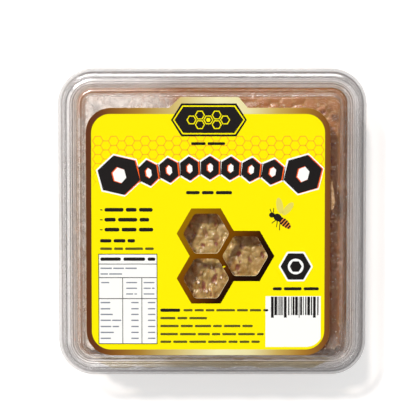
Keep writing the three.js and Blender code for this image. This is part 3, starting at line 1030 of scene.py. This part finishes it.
class BOX_OT_comb(bpy.types.Operator):
    """Builds the slab of comb as its two layers of cells, which meet at the midrib"""

    bl_idname = "honeycomb_box.comb"
    bl_label = "Comb"

    def execute(self, context):
        box, comb = context.scene.honeycomb_box, context.scene.honeycomb_comb
        wax, midrib = wet_wax("wet wax", comb), comb.midrib / MM
        upper = layer("comb_upper_cells", 262, midrib, comb.top / MM, 24, box, comb, True)
        lower = layer("comb_lower_cells", 200, FLOOR_Z, midrib + 0.02, 26, box, comb, False)
        for piece in (upper, lower):
            finished(piece, wax, "comb_wax", "comb")
        return {"FINISHED"}


# ---- Honey, crumbs and bubbles ----


def on_cappings(place, box, comb, gap):
    """Points that lie on the cappings, or a gap above them."""
    return np.column_stack([place, cappings(place[:, 0], place[:, 1], box, comb)[0] + gap])


def under_panel(place, box, gap):
    """Points that hang a gap below the panel's underside."""
    return np.column_stack([place, np.full(len(place), PANEL_Z - box.wall / MM - gap)])


# Drops of honey in the window nearest -Y and beside it: middle and radius
SEEN_DROPS = np.array(
    [
        (-5.6, -24.1, 0.9), (-2.4, -27.8, 0.9), (-1.1, -27.3, 0.62), (-0.2, -26.8, 0.55),
        (-0.3, -18.3, 0.6), (3.6, -22.2, 0.7), (1.3, -24.8, 0.6), (-1.6, -19.7, 0.5), (-4.6, -1.9, 0.6),
        (7.7, -18.0, 0.6),
    ]
)


class BOX_OT_honey(bpy.types.Operator):
    """Builds the honey between the comb and the tub's wall, and the drops on the cappings"""

    bl_idname = "honeycomb_box.honey"
    bl_label = "Honey"

    def execute(self, context):
        box, comb = context.scene.honeycomb_box, context.scene.honeycomb_comb
        self.film(box, comb)
        self.drops(box, comb)
        self.seep(comb)
        return {"FINISHED"}

    def film(self, box, comb):
        """A closed band: up its outer face, over its uneven upper edge and down its inner face, 2 mm
        in from the wall. The outer face lies just in the leaning wall, and up to 1.7 mm in from
        it at the band's edge and in the dry places, by a smooth step of two sizes of hills."""
        middles, ways = track(box, 22, np.linspace(0, 1, 111)[1:-1])
        x, y = (middles + ways * 6).T
        rise = np.linspace(0, 1, 36)[:, None]
        low, top = 1.2, 21.2 + 0.9 * hills(x, y, 9.0, 61) + 0.35 * hills(x, y, 2.6, 62)
        z = low + (top - low) * rise
        patches = hills(x + 0.9 * z, y - 0.6 * z, 7.0, 63) + 0.35 * hills(x + z, y - z, 2.2, 64)
        dry = smooth(patches, 0.22, 0.5) * smooth(z, 3.5, 8.0)
        wall = leaning(z, WALL_FOOT, WALL_TOP)
        outer = wall - 0.05 + 1.7 * np.maximum(dry, smooth(rise, 0.93, 1.0) ** 2)
        inset = np.concatenate([outer, wall[::-1] + 2.0])
        rings = placed(inset, np.concatenate([z, z[::-1]]), box, middles, ways)
        film = mesh_object("honey_film", rings.reshape(-1, 3), closed_faces(rings), sharp=50)
        finished(film, honey_glass("honey", comb.film, (0.93, 0.84, 0.66)), "comb_wax")

    def drops(self, box, comb):
        """Flat clear drops on the cappings, and a few that hang from the panel at +X and -Y."""
        rng = np.random.default_rng(71)
        place = rng.uniform(-52, 52, (110, 2))
        place = place[edge_inset(place[:, 0], place[:, 1], box) > 8.6]
        radius = np.concatenate([rng.uniform(0.3, 0.6, len(place)), SEEN_DROPS[:, 2]])
        lying = on_cappings(np.concatenate([place, SEEN_DROPS[:, :2]]), box, comb, 0.12)
        hanging = 14
        side = rng.uniform(-45, 30, hanging)
        hung = np.column_stack([rng.uniform(48.2, 50.3, hanging), side])
        hung = np.concatenate([hung, [[38.5, -50.6], [41.0, -50.2], [44.6, -50.0]]])
        radius = np.concatenate([radius, rng.uniform(0.25, 0.6, len(hung))])
        centres = np.concatenate([lying, under_panel(hung, box, 0.1)])
        dots = mesh_object("honey_drops", *beads(centres, radius, 0.34, 8, 12), sharp=180)
        finished(dots, honey_glass("clear honey", comb.drop, (0.98, 0.95, 0.88), 0.04), "comb_wax")

    def seep(self, comb):
        """Honey that has seeped out over the tub's edge on the -Y side: a bead on the ledge, round
        rings along a line that hills bend and thicken, and a thin sheet between the tub's rim and
        the lid's bead, whose outer side is hills too."""
        x = np.linspace(-49, 49, 197)
        thick = (0.34 + 0.1 * hills(x, 0, 2.4, 65)) * smooth(49 - abs(x), 0, 3) + 0.01
        turn = np.linspace(0, 2 * np.pi, 10, endpoint=False)
        path = np.column_stack([x, -55.05 + 0.22 * hills(x, 4, 3.6, 66), 23.2 + 0 * x])
        around = np.stack([0 * turn, 1.3 * np.cos(turn), np.sin(turn)], 1)
        bead = tube(path[:, None] + around * thick[:, None, None])
        x = np.linspace(-47.5, 47.5, 96)
        side = -56.2 - (2.3 + 0.5 * hills(x, 0, 5.0, 67)) * smooth(48 - abs(x), 0, 9)
        outline = np.concatenate([np.column_stack([x, side]), [[47.5, -56.0], [-47.5, -56.0]]])
        sheet = flat_prism([[outline]], RIM_Z + 0.06, RIM_Z + 0.26)
        seep = mesh_object("honey_seep", *joined([bead, sheet]), sharp=50)
        finished(seep, honey_glass("thin honey", comb.seep, (0.95, 0.9, 0.8)), "comb_wax")


class BOX_OT_fog(bpy.types.Operator):
    """Builds the fog under the lid's channel, wall and panel, thick at -X as a painted haze of the light
    from that side, and thin elsewhere
    """

    bl_idname = "honeycomb_box.fog"
    bl_label = "Fog"

    def execute(self, context):
        box, comb = context.scene.honeycomb_box, context.scene.honeycomb_comb
        panel, channel = PANEL_Z - box.wall / MM, CHANNEL_Z - box.wall / MM - 0.03
        upper = [(7.5, channel), (9.7, channel), (11.15, panel - 0.08)]
        upper += [(inset, panel - 0.1) for inset in (12.4, 14.5, 17.0)]
        lower = [(inset + 0.03, z - 0.05) for inset, z in reversed(upper)]
        rings = carried(np.array(upper + lower), box, *track(box, 12, box_run()))
        x, y, z = rings.reshape(-1, 3).T
        # Painted haze: thick at -X, the side the light comes from
        thick = np.maximum(1 - smooth(x + 2 * hills(x, y, 4.0, 91), -26, -11), 0.03)
        in_channel = 0.9 * (1 - smooth(y, 38, 48)) * (1 - 0.55 * smooth(-y, 5, 25))
        thick = thick * np.maximum(smooth(z, 27.0, 28.2), in_channel)
        # A patch in the corner at +X, -Y
        marks = {"fog": np.maximum(thick, 0.6 * smooth(x - y, 91, 102))}
        points, quads = rings.reshape(-1, 3), closed_faces(rings)
        film = mesh_object("lid_fog", points, quads, attributes=marks, sharp=50)
        finished(film, painted_haze("wax bloom", comb), "comb_wax")
        return {"FINISHED"}


# White beads on the cappings that are painted glints, in the window nearest -Y and beside it: middle and
# radius
PAINTED_GLINTS = np.array(
    [
        (-5.6, -24.1, 0.62), (-2.3, -27.8, 0.6), (-1.0, -27.1, 0.5), (3.6, -22.2, 0.5),
        (1.5, -24.6, 0.42), (-0.3, -18.2, 0.42), (5.2, -1.0, 0.5), (-4.4, -1.9, 0.4),
    ]
)


class BOX_OT_crumbs(bpy.types.Operator):
    """Scatters crumbs of wax and bubbles, and hangs one flake of wax under the panel"""

    bl_idname = "honeycomb_box.crumbs"
    bl_label = "Wax crumbs and bubbles"

    def execute(self, context):
        box, comb = context.scene.honeycomb_box, context.scene.honeycomb_comb
        rng = np.random.default_rng(81)
        self.crumbs(box, comb, rng)
        self.bubbles(box, comb, rng)
        return {"FINISHED"}

    def flake(self, box):
        """A thin ragged leaf that clings to the underside of the panel, at +X: a grid of its length
        by its width, wide by a sine to the power 0.3 and by hills, and a copy of it below."""
        rows, columns = 15, 5
        t, w = np.meshgrid(np.linspace(0, 1, rows), np.linspace(-1, 1, columns), indexing="ij")
        half = np.sin(np.pi * np.clip(t * 0.94 + 0.03, 0, 1)) ** 0.3
        half = half * (1.1 - 0.35 * t + 0.35 * hills(t * 9, w, 1.0, 83))
        x, y = 48.0 + half * w + 0.2 * np.sin(t * 5), 6.0 + 11.2 * t
        z = PANEL_Z - box.wall / MM - 0.1 + 0.08 * hills(x, y, 1.5, 84) - 0.1 * w**2
        points = np.concatenate([np.stack([x, y, z - down], 2).reshape(-1, 3) for down in (0, 0.25)])
        face, grid = grid_faces(rows, columns)[:, ::-1], np.arange(rows * columns).reshape(rows, columns)
        i = np.concatenate([grid[0, :-1], grid[:-1, -1], grid[-1, :0:-1], grid[:0:-1, 0]])
        rim = np.stack([i, np.roll(i, -1), np.roll(i, -1) + grid.size, i + grid.size], 1)[:, ::-1]
        return points, np.concatenate([face, face[:, ::-1] + grid.size, rim]), np.zeros((0, 3), int)

    def crumbs(self, box, comb, rng):
        """Crumbs of wax that lie on the cappings, most of them near the wall, and the one flake."""
        many = 900
        place = rng.uniform(-53.5, 53.5, (many, 2))
        inset = edge_inset(place[:, 0], place[:, 1], box)
        place = place[(inset > 8.2) & ((inset < 15) | (rng.random(many) < 0.06))]
        size = rng.uniform(0.12, 0.42, len(place)) * rng.choice([1, 1, 1.7], len(place))
        lying = beads(on_cappings(place, box, comb, 0.05), size, 0.5, 5, 7, 0.35, 82)
        crumbs = mesh_object("wax_crumbs", *joined([lying, self.flake(box)]), sharp=50)
        dry, mask, height = speckled(
            "dry wax", (700.0, 0.35, 0.65, 3.0), (190, 148, 98), (228, 192, 148)
        )
        dry.set(Roughness=dry.spread(mask, 0.35, 0.6))
        dry.bump(height, 0.5, 0.1)
        finished(crumbs, dry, "comb_wax")

    def bubbles(self, box, comb, rng):
        """Air caught in the honey, just inside the wall, with a chain of bubbles at -X, -Y, specks under
        the panel at +X and in the corner nearest -Y, and flat white beads on the cappings that are
        painted glints."""
        middles, ways = track(box, 12, np.linspace(0, 1, 40)[1:-1])
        many = 240
        pick = rng.integers(0, len(middles), many)
        height = 22.6 - 21.0 * rng.random(many) ** 1.6
        inset = leaning(np.minimum(height, LEDGE_Z), 9.47175, 7.87)
        inset = inset + 0.9 * (height > 22.0) * rng.random(many)
        slide = rng.uniform(-2.5, 2.5, (many, 1)) * np.stack([-ways[pick, 1], ways[pick, 0]], 1)
        caught = placed(inset, height, box, middles[pick], ways[pick])
        reach = 54.0
        caught[:, :2] = np.clip(caught[:, :2] + slide, -reach, reach)
        links = 16
        chain_x = np.linspace(-48.0, -39.5, links) + rng.normal(0, 0.12, links)
        chain = np.column_stack([chain_x, -55.0 + rng.normal(0, 0.2, links), np.full(links, 23.25)])
        specks = np.concatenate(
            [
                np.random.default_rng(85).uniform((47.8, -50.5, 0.1), (50.6, 44.0, 0.24), (34, 3)),
                np.random.default_rng(86).uniform((39.0, -50.8, 0.12), (49.5, -48.6, 0.3), (8, 3)),
            ]
        )
        centres = np.concatenate([caught, chain, under_panel(specks[:, :2], box, 0.15)])
        radii = [rng.uniform(0.1, 0.32, many), rng.uniform(0.2, 0.42, links), specks[:, 2]]
        crown = on_cappings(PAINTED_GLINTS[:, :2], box, comb, 0.25)
        glint_beads = beads(crown, PAINTED_GLINTS[:, 2], 0.3)
        # The glint beads lean towards the light
        offset = glint_beads[0].reshape(len(crown), -1, 3) - crown[:, None]
        glint_beads[0][:, 2] += (0.2 * offset[..., 0] - 0.375 * offset[..., 1]).ravel()
        bodies = joined([beads(centres, np.concatenate(radii), 1.0), glint_beads])
        froth_and_glints = mesh_object("honey_bubbles", *bodies, sharp=180)
        # White foam, which on the glint beads is a painted glint
        foam_and_glints, mask, _ = speckled(
            "honey foam", (1200.0, 0.3, 0.7, 2.0), (253, 248, 238), (240, 224, 192),
            Coat_Weight=0.6, Coat_Roughness=0.05,
        )
        foam_and_glints.set(Roughness=foam_and_glints.spread(mask, 0.05, 0.2))
        finished(froth_and_glints, foam_and_glints, "comb_wax")


# ---- The label ----

SEED = 7
OPENINGS = [(13.15, -12.6), (-2.53, -3.55), (-2.53, -21.65)]
# Colours of the border and of the windows' frames, by millimetres along a direction
BORDER_STOPS = [
    (-50.6, (92, 42, 10)), (-46, (100, 50, 12)), (-38, (136, 88, 26)), (-29, (166, 124, 44)),
    (-14, (208, 186, 114)), (2, (236, 230, 182)), (15, (230, 220, 164)), (26, (196, 166, 84)),
    (36, (166, 118, 38)), (47.2, (114, 62, 18)),
]
FRAME_STOPS = [
    (-13, (152, 112, 0)), (-3, (134, 92, 0)), (4, (118, 68, 0)), (9, (112, 66, 0)), (14, (84, 42, 0)),
    (20, (36, 12, 0)), (28, (22, 6, 0)),
]
LINE_STOPS = [(17, (250, 226, 6)), (22, (252, 206, 20)), (27, (254, 186, 34)), (36, (254, 180, 38))]
# The row of nine cells on an arch: middle, half width, half height and lean in degrees
ROW_CELLS = [
    (-37.4, 19.9, 7.7, 8.2, 15), (-25.6, 20.8, 3.65, 5.3, 9), (-17.4, 21.9, 3.65, 5.1, 6),
    (-9.2, 22.6, 3.6, 4.9, 3), (-1.0, 22.9, 3.6, 4.8, 0), (7.2, 22.7, 3.6, 4.8, -3),
    (15.4, 22.1, 3.6, 4.9, -6), (24.0, 21.2, 4.1, 5.2, -9), (36.2, 20.3, 6.9, 8.0, -14),
]
PLAQUE_X, PLAQUE_Y = -1.6, 42.1
SEAL = (33.5, -16.9)
# Lines of words: left, right, height on the label, size and weight
BULLETS = [
    (-43.2, -23.9, 6.0, 2.3, 1.05), (-43.2, -25.3, 2.0, 2.3, 1.05), (-43.2, -23.7, -2.0, 2.3, 1.05)
]
BOLD_LINES = [
    (-8.5, 5.1, 32.6, 1.9, 0.95), (-10.5, 7.9, 12.9, 2.1, 1), *BULLETS, (-45.0, -31.0, -6.5, 2.1, 1.05),
    (-20.9, -12.9, -34.6, 2.1, 1), (24.3, 42.8, -25.9, 2.0, 1),
]
THIN_LINES = [
    (-45.0, -23.5, -9.7, 2.0, 0.8), (-11.6, 22.5, -34.6, 1.9, 0.8), (-20.9, -2.1, -37.8, 1.9, 0.8),
    (-20.9, 16.3, -41.0, 1.9, 0.8), (-20.9, 20.7, -44.3, 1.9, 0.8), (-20.9, 19.1, -47.4, 1.9, 0.8),
]
TABLE_TITLE = [(-44.9, -22.9, -13.9, 2.5, 0.85)]
TABLE_HEADS = [
    (-44.9, -30.3, -17.6, 1.15, 0.75), (-44.9, -36.2, -19.9, 1.15, 0.75),
    (-44.6, -41.4, -23.4, 1.05, 0.75),
]
TABLE_HEADS += [
    (left, right, y, 1.05, 0.75)
    for y in (-23.4, -25.7, -28.0)
    for left, right in ((-34.6, -30.2), (-27.6, -23.2))
]
ROW_ENDS = (
    (-31.5, -41), (-34, -41), (-36.3, -40), (-38.7, -36.6), (-41.2, -37.5), (-43.6, -39.6), (-46, -40.8)
)
TABLE_ROWS = [
    (left, right, y, size, 0.75)
    for y, end in ROW_ENDS
    for left, right, size in ((-44.9, end, 1.15), (-32.6, -29.6, 1.1), (-25.9, -22.9, 1.1))
]


def words(lines, rng):
    """Stands in for lines of words: round ended bars of seeded lengths with gaps between them."""
    bars = []
    for x, right, y, size, weight in lines:
        tall = size * 0.31 * weight
        while right - x > size * 0.6:
            wide = size * rng.uniform(1.6, 4.2)
            end = right if right - x - wide < size * 1.3 else x + wide
            bars.append([round_bar(x, y - tall, end, y + tall, tall * 0.8, 3)])
            x = end + size * 0.42
    return bars


def label_outline(edge):
    """The sheet's outline a little inside its edge: a round rectangle with a tab on its +Y side."""
    high = 46.9 - edge
    shape = round_bar(-50.6 + edge, -52.85 + edge, 47.2 - edge, high, 9.8 - edge, 10)
    top = high + 4.3
    tab = [[14.2 - edge, high], [10.5 - edge, top], [-12.7 + edge, top], [-17.2 + edge, high]]
    return np.concatenate([shape[:11], tab, shape[11:]])


def upright_cell(x, y, half_wide, half_tall, lean, grow=0.0, shift=0.0):
    """A six sided cell with its points up and down, leaning with the arch."""
    w, h = half_wide + grow, half_tall + grow
    shape = np.array([[w, -h * 0.5], [w, h * 0.5], [0, h], [-w, h * 0.5], [-w, -h * 0.5], [0, -h]])
    return turned(shape, lean, x + shift, y)


def cell_middle(x, y, half_wide, half_tall, lean, less=0.0, shift=0.0):
    """The opening in an upright cell, or a cell a little smaller."""
    return upright_cell(x, y, half_wide * 0.34 - less, half_tall * 0.42 - less, lean, shift=shift)


def frames_outline():
    """Three hexagons about one point as one outline: three corners of each, and where they meet."""
    reach, outline = 11.76, []
    for way in (0, 120, 240):
        hub = polar(*WINDOWS_MIDDLE, 18.1 / math.sqrt(3), way)
        outline += [polar(*hub, reach, way + k) for k in (-60, 0, 60)]
        outline.append(polar(*WINDOWS_MIDDLE, reach, way + 60))
    return np.array(outline)


def cell_lines(rng):
    """Strokes along three sides of each cell of a lattice, above the row and ragged below it."""
    pitch, strokes = 3.64, []
    corner = pitch / 2 / math.cos(math.pi / 6)
    for i in range(-16, 16):
        for j in range(-1, 6):
            x, y = i * corner * 1.5 - 1.6, 19.15 + (j + (i % 2) / 2) * pitch
            for way in (0, 60, 120):
                a, b = polar(x, y, corner, way), polar(x, y, corner, way + 60)
                inside = all(-48.3 < q[0] < 44.9 and q[1] < 36.2 for q in (a, b))
                if inside and not (a[1] < 26 and abs(x) < 41 - rng.random() * 6):
                    strokes.append(stroke(a, b, 0.36))
    return strokes


def plaque_outline(e):
    """A bar with pointed ends, that far inside the plaque's edge."""
    upper, lower = 48.7 - e, 35.5 + e
    left, right = -12.4 + 0.6 * e, 9.6 - 0.6 * e
    tips = [[13.8 - e, PLAQUE_Y], [-16.5 + e, PLAQUE_Y]]
    return np.array([tips[0], [right, upper], [left, upper], tips[1], [left, lower], [right, lower]])


def code_bars(rng):
    """Upright bars of seeded widths and gaps, some of them a little longer."""
    x, bars = 23.6, []
    while x < 42.6:
        wide = rng.choice([0.3, 0.5, 0.8, 1.1])
        bars.append(bar(x, -36.6 if rng.random() < 0.85 else -37.6, x + wide, -29.1))
        x += wide + rng.choice([0.25, 0.35, 0.6])
    return bars


def bee_bands():
    """Strokes across the tail, at lengths along it and as wide as it is there."""
    along = polar(0, 0, 1.0, -42)
    across = np.array([-along[1], along[0]])
    middles = [(np.array([29.1, 0.6]) + along * at, across * half)
               for at, half in ((-2.1, 1.15), (-1.0, 1.45), (0.1, 1.5), (1.2, 1.25), (2.3, 0.8))]
    return [stroke(at - side, at + side, 0.65) for at, side in middles]


def paper_with_painted_glow():
    """The sheet's cut paper, with a painted red-orange glow on its underside that stands in for light
    come down through the paper.
    """
    paper = ink("cut paper", linear(242, 222, 176))
    up = paper.axis(paper.new("NewGeometry").outputs["Normal"], "Z")
    # Painted light: the underside glows warm, though it is no lamp
    glow = paper.math("MULTIPLY", up, -0.13, use_clamp=True)
    paper.set(Emission_Color=(1.0, 0.12, 0.02), Emission_Strength=glow)
    return paper


class BOX_OT_label(bpy.types.Operator):
    """Builds the label's sheet and its print"""

    bl_idname = "honeycomb_box.label"
    bl_label = "Label"

    def execute(self, context):
        label = context.scene.honeycomb_label
        rng = np.random.default_rng(SEED)
        openings = [cell_outline(x, y, 8.0, 1.8) for x, y in OPENINGS]
        sheet = flat_prism([[label_outline(0.0), *openings]], PANEL_Z - 0.06, LABEL_Z - 0.005)
        finished(mesh_object("label_sheet", *sheet), paper_with_painted_glow(), "label_print", "label")

        yellow = ink("yellow ink", label.yellow, shine=0.04)
        black, white = ink("black ink", label.black), ink("white ink", linear(250, 250, 248))
        orange, grey = ink("orange ink", label.orange), ink("grey ink", label.grey)
        olive = ink("olive ink", label.olive)
        gold = ink("gold border ink", ramp=((1, 0, 0), BORDER_STOPS), shine=0.12)
        frame_ink = ink("window frame ink", ramp=((0.8, -0.6, 0), FRAME_STOPS), shine=0.03)
        line = ink("line ink", ramp=((0, 1, 0), LINE_STOPS), shine=0.04)
        wing, tail = ink("wing ink", linear(226, 214, 92)), ink("tail ink", linear(216, 132, 40))

        windows = [cell_outline(x + 0.05, y - 0.06, 8.03, 1.8) for x, y in OPENINGS]
        inner = round_bar(-48.45, -50.55, 45.05, 44.5, 7.6, 10)
        trims = [[plaque_outline(0.8), plaque_outline(1.35)], [cell_outline(PLAQUE_X, PLAQUE_Y, 0.8)]]
        level = [(dx, 0) for dx in (-6.7, 0, 6.7)]
        for dx, dy in level + [(dx, dy) for dx in (-3.35, 3.35) for dy in (1.95, -1.9)]:
            trims.append([cell_outline(PLAQUE_X + dx, PLAQUE_Y + dy, half) for half in (1.75, 1.35)])
        dashes = [bar(-45.0, y - 0.25, -44.0, y + 0.15) for _, _, y, _, _ in BULLETS]
        rules = [bar(-45.7, y - 0.15, -22.1, y + 0.15) for y in (-11.9, -15.9, -21.4, -29.9, -48.2)]
        for x, high in ((-45.6, -11.9), (-22.2, -11.9), (-36.0, -21.4), (-28.3, -21.4)):
            rules.append(bar(x - 0.14, -48.2, x + 0.14, high))
        # The code panel's lower right corner is cut by the border's arc
        cut = polar(37.45, -42.65, 7.0, np.linspace(-80, 0, 9))[1:]
        panel = np.concatenate([[[21.4, -28.9], [21.4, -49.5], [38.0, -49.5]], cut, [[44.3, -28.9]]])
        panel[:, 0] = np.minimum(panel[:, 0], 43.6)
        # The bee looks to -X: pale wings, a banded tail, a round body and head, legs and feelers
        body = [[oval(26.2, 2.9, 1.75, 1.45, -35)], [oval(23.9, 3.9, 1.15, 1.05)]]
        limbs = [
            ((25.3, 1.7), (23.8, 0.6)), ((26.1, 1.5), (25.7, -1.0)), ((27.2, 1.6), (26.9, -2.2)),
            ((23.7, 4.8), (23.1, 6.4)), ((24.5, 4.9), (24.6, 6.7)),
        ]
        # Each piece of print: its shapes, the layer of ink that it reaches up to, and its ink. The
        # drawn ones stand in the order of their random draws.
        prints = {
            "ground": ([[label_outline(0.01), *windows]], 0, yellow),
            "border": ([[label_outline(0.02), inner]], 1, gold),
            "frames": ([[frames_outline(), *windows, oval(4.7, -17.0, 0.65, 0.3, 25)]], 1, frame_ink),
            "cell_lines": (cell_lines(rng), 1, line),
            "row_ground": ([[upright_cell(*c, grow=0.75, shift=0.1)] for c in ROW_CELLS], 2, white),
            "row_edge": ([[upright_cell(*c, shift=0.5)] for c in ROW_CELLS], 3, orange),
            "row_cells": ([[upright_cell(*c), cell_middle(*c)] for c in ROW_CELLS], 4, black),
            "row_middles": ([[cell_middle(*c, less=0.2, shift=0.25)] for c in ROW_CELLS], 4, white),
            "plaque": ([[plaque_outline(0)]], 2, black),
            "plaque_trim": (trims, 3, yellow),
            "bold_lines": (dashes + words(BOLD_LINES, rng), 1, black),
            "thin_lines": (words(THIN_LINES, rng), 1, olive),
            "table": ([bar(-45.7, -48.3, -22.1, -11.8)], 1, white),
            "table_rules": (rules + words(TABLE_TITLE, rng), 2, black),
            "table_marks": (words(TABLE_HEADS + TABLE_ROWS, rng), 2, grey),
            "code_panel": ([[panel]], 1, white),
            "code_bars": (code_bars(rng), 2, black),
            "seal_edge": ([[cell_outline(*SEAL, 6.0, 0.8)]], 1, white),
            "seal": ([[cell_outline(*SEAL, 5.3, 0.6), oval(*SEAL, 3.2, 3.2)]], 2, black),
            "seal_middle": ([[cell_outline(*SEAL, 2.1, 0.3)]], 2, black),
            "bee_wings": ([[oval(27.0, 7.6, 3.3, 1.35, 100)], [oval(30.3, 6.4, 3.2, 1.3, 50)]], 1, wing),
            "bee_tail": ([[oval(29.1, 0.6, 3.0, 1.4, -42)]], 1, tail),
            "bee_bands": (bee_bands(), 2, black),
            "bee_body": (body + [stroke(a, b, 0.3) for a, b in limbs], 3, black),
        }
        for name, (shapes, layers, paint) in prints.items():
            prism = flat_prism(shapes, LABEL_Z - 0.01, LABEL_Z + label.layer / MM * layers)
            finished(mesh_object("label_" + name, *prism), paint, "label_print")
        return {"FINISHED"}


# ---- Stage ----


def rectangle(x0, y0, x1, y1, z):
    """The four corners of a level rectangle."""
    return np.array([[x0, y0, z], [x1, y0, z], [x1, y1, z], [x0, y1, z]])


def staged(name, points, face, paint):
    """A flat sheet of the stage."""
    sheet = mesh_object(name, points, np.array([face]))
    sheet.data.materials.append(paint.material)
    return sheet


# Height of the lamps and half the floor's side, in millimetres
LAMP_Z, FLOOR_REACH = 2030, 4000


def lamp_sheet(name, sides, fades, strength):
    """A glowing sheet two metres up, seen in reflections alone, with its sides (low x, low y,
    high x, high y) in millimetres and the width over which it fades in from each of them."""
    glow = Paint(name + " glow", Base_Color=(0, 0, 0), Emission_Color=(1, 1, 1), Specular_IOR_Level=0.0)
    total = strength
    for letter, side, fade, inward in zip("XYXY", sides, fades, (1, 1, -1, -1)):
        ends = side * MM, (side + inward * fade) * MM
        edge = glow.remap(glow.axis(glow.place, letter), *ends, interpolation_type="SMOOTHSTEP")
        total = glow.math("MULTIPLY", edge, total)
    glow.set(Emission_Strength=total)
    sheet = staged(name, rectangle(*sides, LAMP_Z), [0, 3, 2, 1], glow)
    sheet.visible_camera = sheet.visible_shadow = sheet.visible_diffuse = False


def studio_world(sky):
    """Even light, brighter from -X, +Y, and dark straight above, so that the panel shows what lies
    under it."""
    world = bpy.data.worlds.new("studio")
    world.use_nodes = True
    nodes = Nodes(world.node_tree)
    back, where = nodes.new("Background"), nodes.new("TexCoord").outputs["Generated"]
    level = nodes.remap(nodes.along(where, (-0.5, 0.8, 0.33)), -1.0, 1.0, 0.1, 2.2)
    overhead = nodes.axis(where, "Z")
    top = nodes.remap(overhead, 0.93, 0.975, 1.0, 0.12, interpolation_type="SMOOTHSTEP")
    bright = nodes.math("MULTIPLY", nodes.math("MULTIPLY", level, top), sky)
    nodes.put(bright, back.inputs["Strength"])
    nodes.put(back.outputs[0], nodes.new("OutputWorld").inputs["Surface"])
    return world


class BOX_OT_stage(bpy.types.Operator):
    """Sets up the floor, the light and the camera"""

    bl_idname = "honeycomb_box.stage"
    bl_label = "Stage"

    def execute(self, context):
        scene, stage = context.scene, context.scene.honeycomb_stage
        paper = speckled(
            "floor paper", (25.0, 0.3, 0.7, 4.0), (188, 188, 188), (194, 194, 194),
            Roughness=0.9, Specular_IOR_Level=0.1, Emission_Color=(1, 1, 1), Emission_Strength=0.62,
        )[0]
        corners = rectangle(-FLOOR_REACH, -FLOOR_REACH, FLOOR_REACH, FLOOR_REACH, 0)
        staged("floor", corners, [0, 1, 2, 3], paper)
        scene.world = studio_world(stage.sky)

        key = bpy.data.lights.new("key", "SUN")
        key.energy, key.angle, key.color = stage.key, math.radians(5), (1.0, 0.985, 0.955)
        key_object = bpy.data.objects.new("key", key)
        key_object.rotation_euler = Vector((-0.36, 0.53, 0.77)).to_track_quat("Z", "Y").to_euler()
        scene.collection.objects.link(key_object)

        # Overhead, one lamp that the panel shows at its -X side and two that the -X and +Y rims
        # show, and three low ones, which the slopes of the rim's small steps show
        rim, edge = stage.rim_light, stage.edge_light
        lamps = {
            "panel_lamp": ((-146, -450, -20, 250), (4, 80, 80, 120), stage.panel_light),
            "side_rim_lamp": ((-175, -450, -146, 250), (6, 80, 2, 120), 0.5 * rim),
            "back_rim_lamp": ((-280, -74, 280, -30), (60, 5, 60, 14), rim),
            "back_edge_lamp": ((-1200, 1350, 1100, 2300), (300, 150, 700, 200), edge),
            "corner_edge_lamp": ((-1300, 600, 0, 1350), (300, 200, 600, 60), edge),
            "side_edge_lamp": ((-2300, -900, -1100, 900), (200, 500, 200, 300), 0.2 * edge),
        }
        for name, lamp in lamps.items():
            lamp_sheet(name, *lamp)

        camera = bpy.data.cameras.new("camera")
        camera.sensor_width = 36.0
        camera.lens = camera.sensor_width * stage.distance / stage.view_width
        camera.clip_start, camera.clip_end = 0.01, 20.0
        camera_object = bpy.data.objects.new("camera", camera)
        aim = Vector((stage.aim_x, stage.aim_y, stage.aim_z))
        back = Vector((0, math.sin(stage.tilt), math.cos(stage.tilt)))
        camera_object.location = aim + stage.distance * back
        camera_object.rotation_euler = (-stage.tilt, 0, 0)
        scene.collection.objects.link(camera_object)
        scene.camera = camera_object
        scene.view_settings.view_transform = "Standard"
        return {"FINISHED"}


class BOX_PT_panel(bpy.types.Panel):
    """Lists the operators of the box"""

    bl_idname = "BOX_PT_panel"
    bl_label = "Honeycomb Box"
    bl_space_type = "VIEW_3D"
    bl_region_type = "UI"
    bl_category = "Honeycomb Box"

    def draw(self, context):
        for operator in OPERATORS:
            self.layout.operator(operator.bl_idname)


OPERATORS = (
    BOX_OT_tub, BOX_OT_lid, BOX_OT_comb, BOX_OT_honey, BOX_OT_fog, BOX_OT_crumbs, BOX_OT_label,
    BOX_OT_stage,
)
SETTINGS = {
    "honeycomb_box": BoxSettings,
    "honeycomb_comb": CombSettings,
    "honeycomb_label": LabelSettings,
    "honeycomb_stage": StageSettings,
}
CLASSES = (*SETTINGS.values(), *OPERATORS, BOX_PT_panel)


def register():
    for item in CLASSES:
        bpy.utils.register_class(item)
    for name, group in SETTINGS.items():
        setattr(bpy.types.Scene, name, PointerProperty(type=group))


def unregister():
    for name in SETTINGS:
        delattr(bpy.types.Scene, name)
    for item in reversed(CLASSES):
        bpy.utils.unregister_class(item)


def main():
    """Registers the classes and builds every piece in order."""
    register()
    bpy.ops.honeycomb_box.stage()
    bpy.ops.honeycomb_box.tub()
    bpy.ops.honeycomb_box.lid()
    bpy.ops.honeycomb_box.comb()
    bpy.ops.honeycomb_box.honey()
    bpy.ops.honeycomb_box.fog()
    bpy.ops.honeycomb_box.crumbs()
    bpy.ops.honeycomb_box.label()


if __name__ == "__main__":
    main()
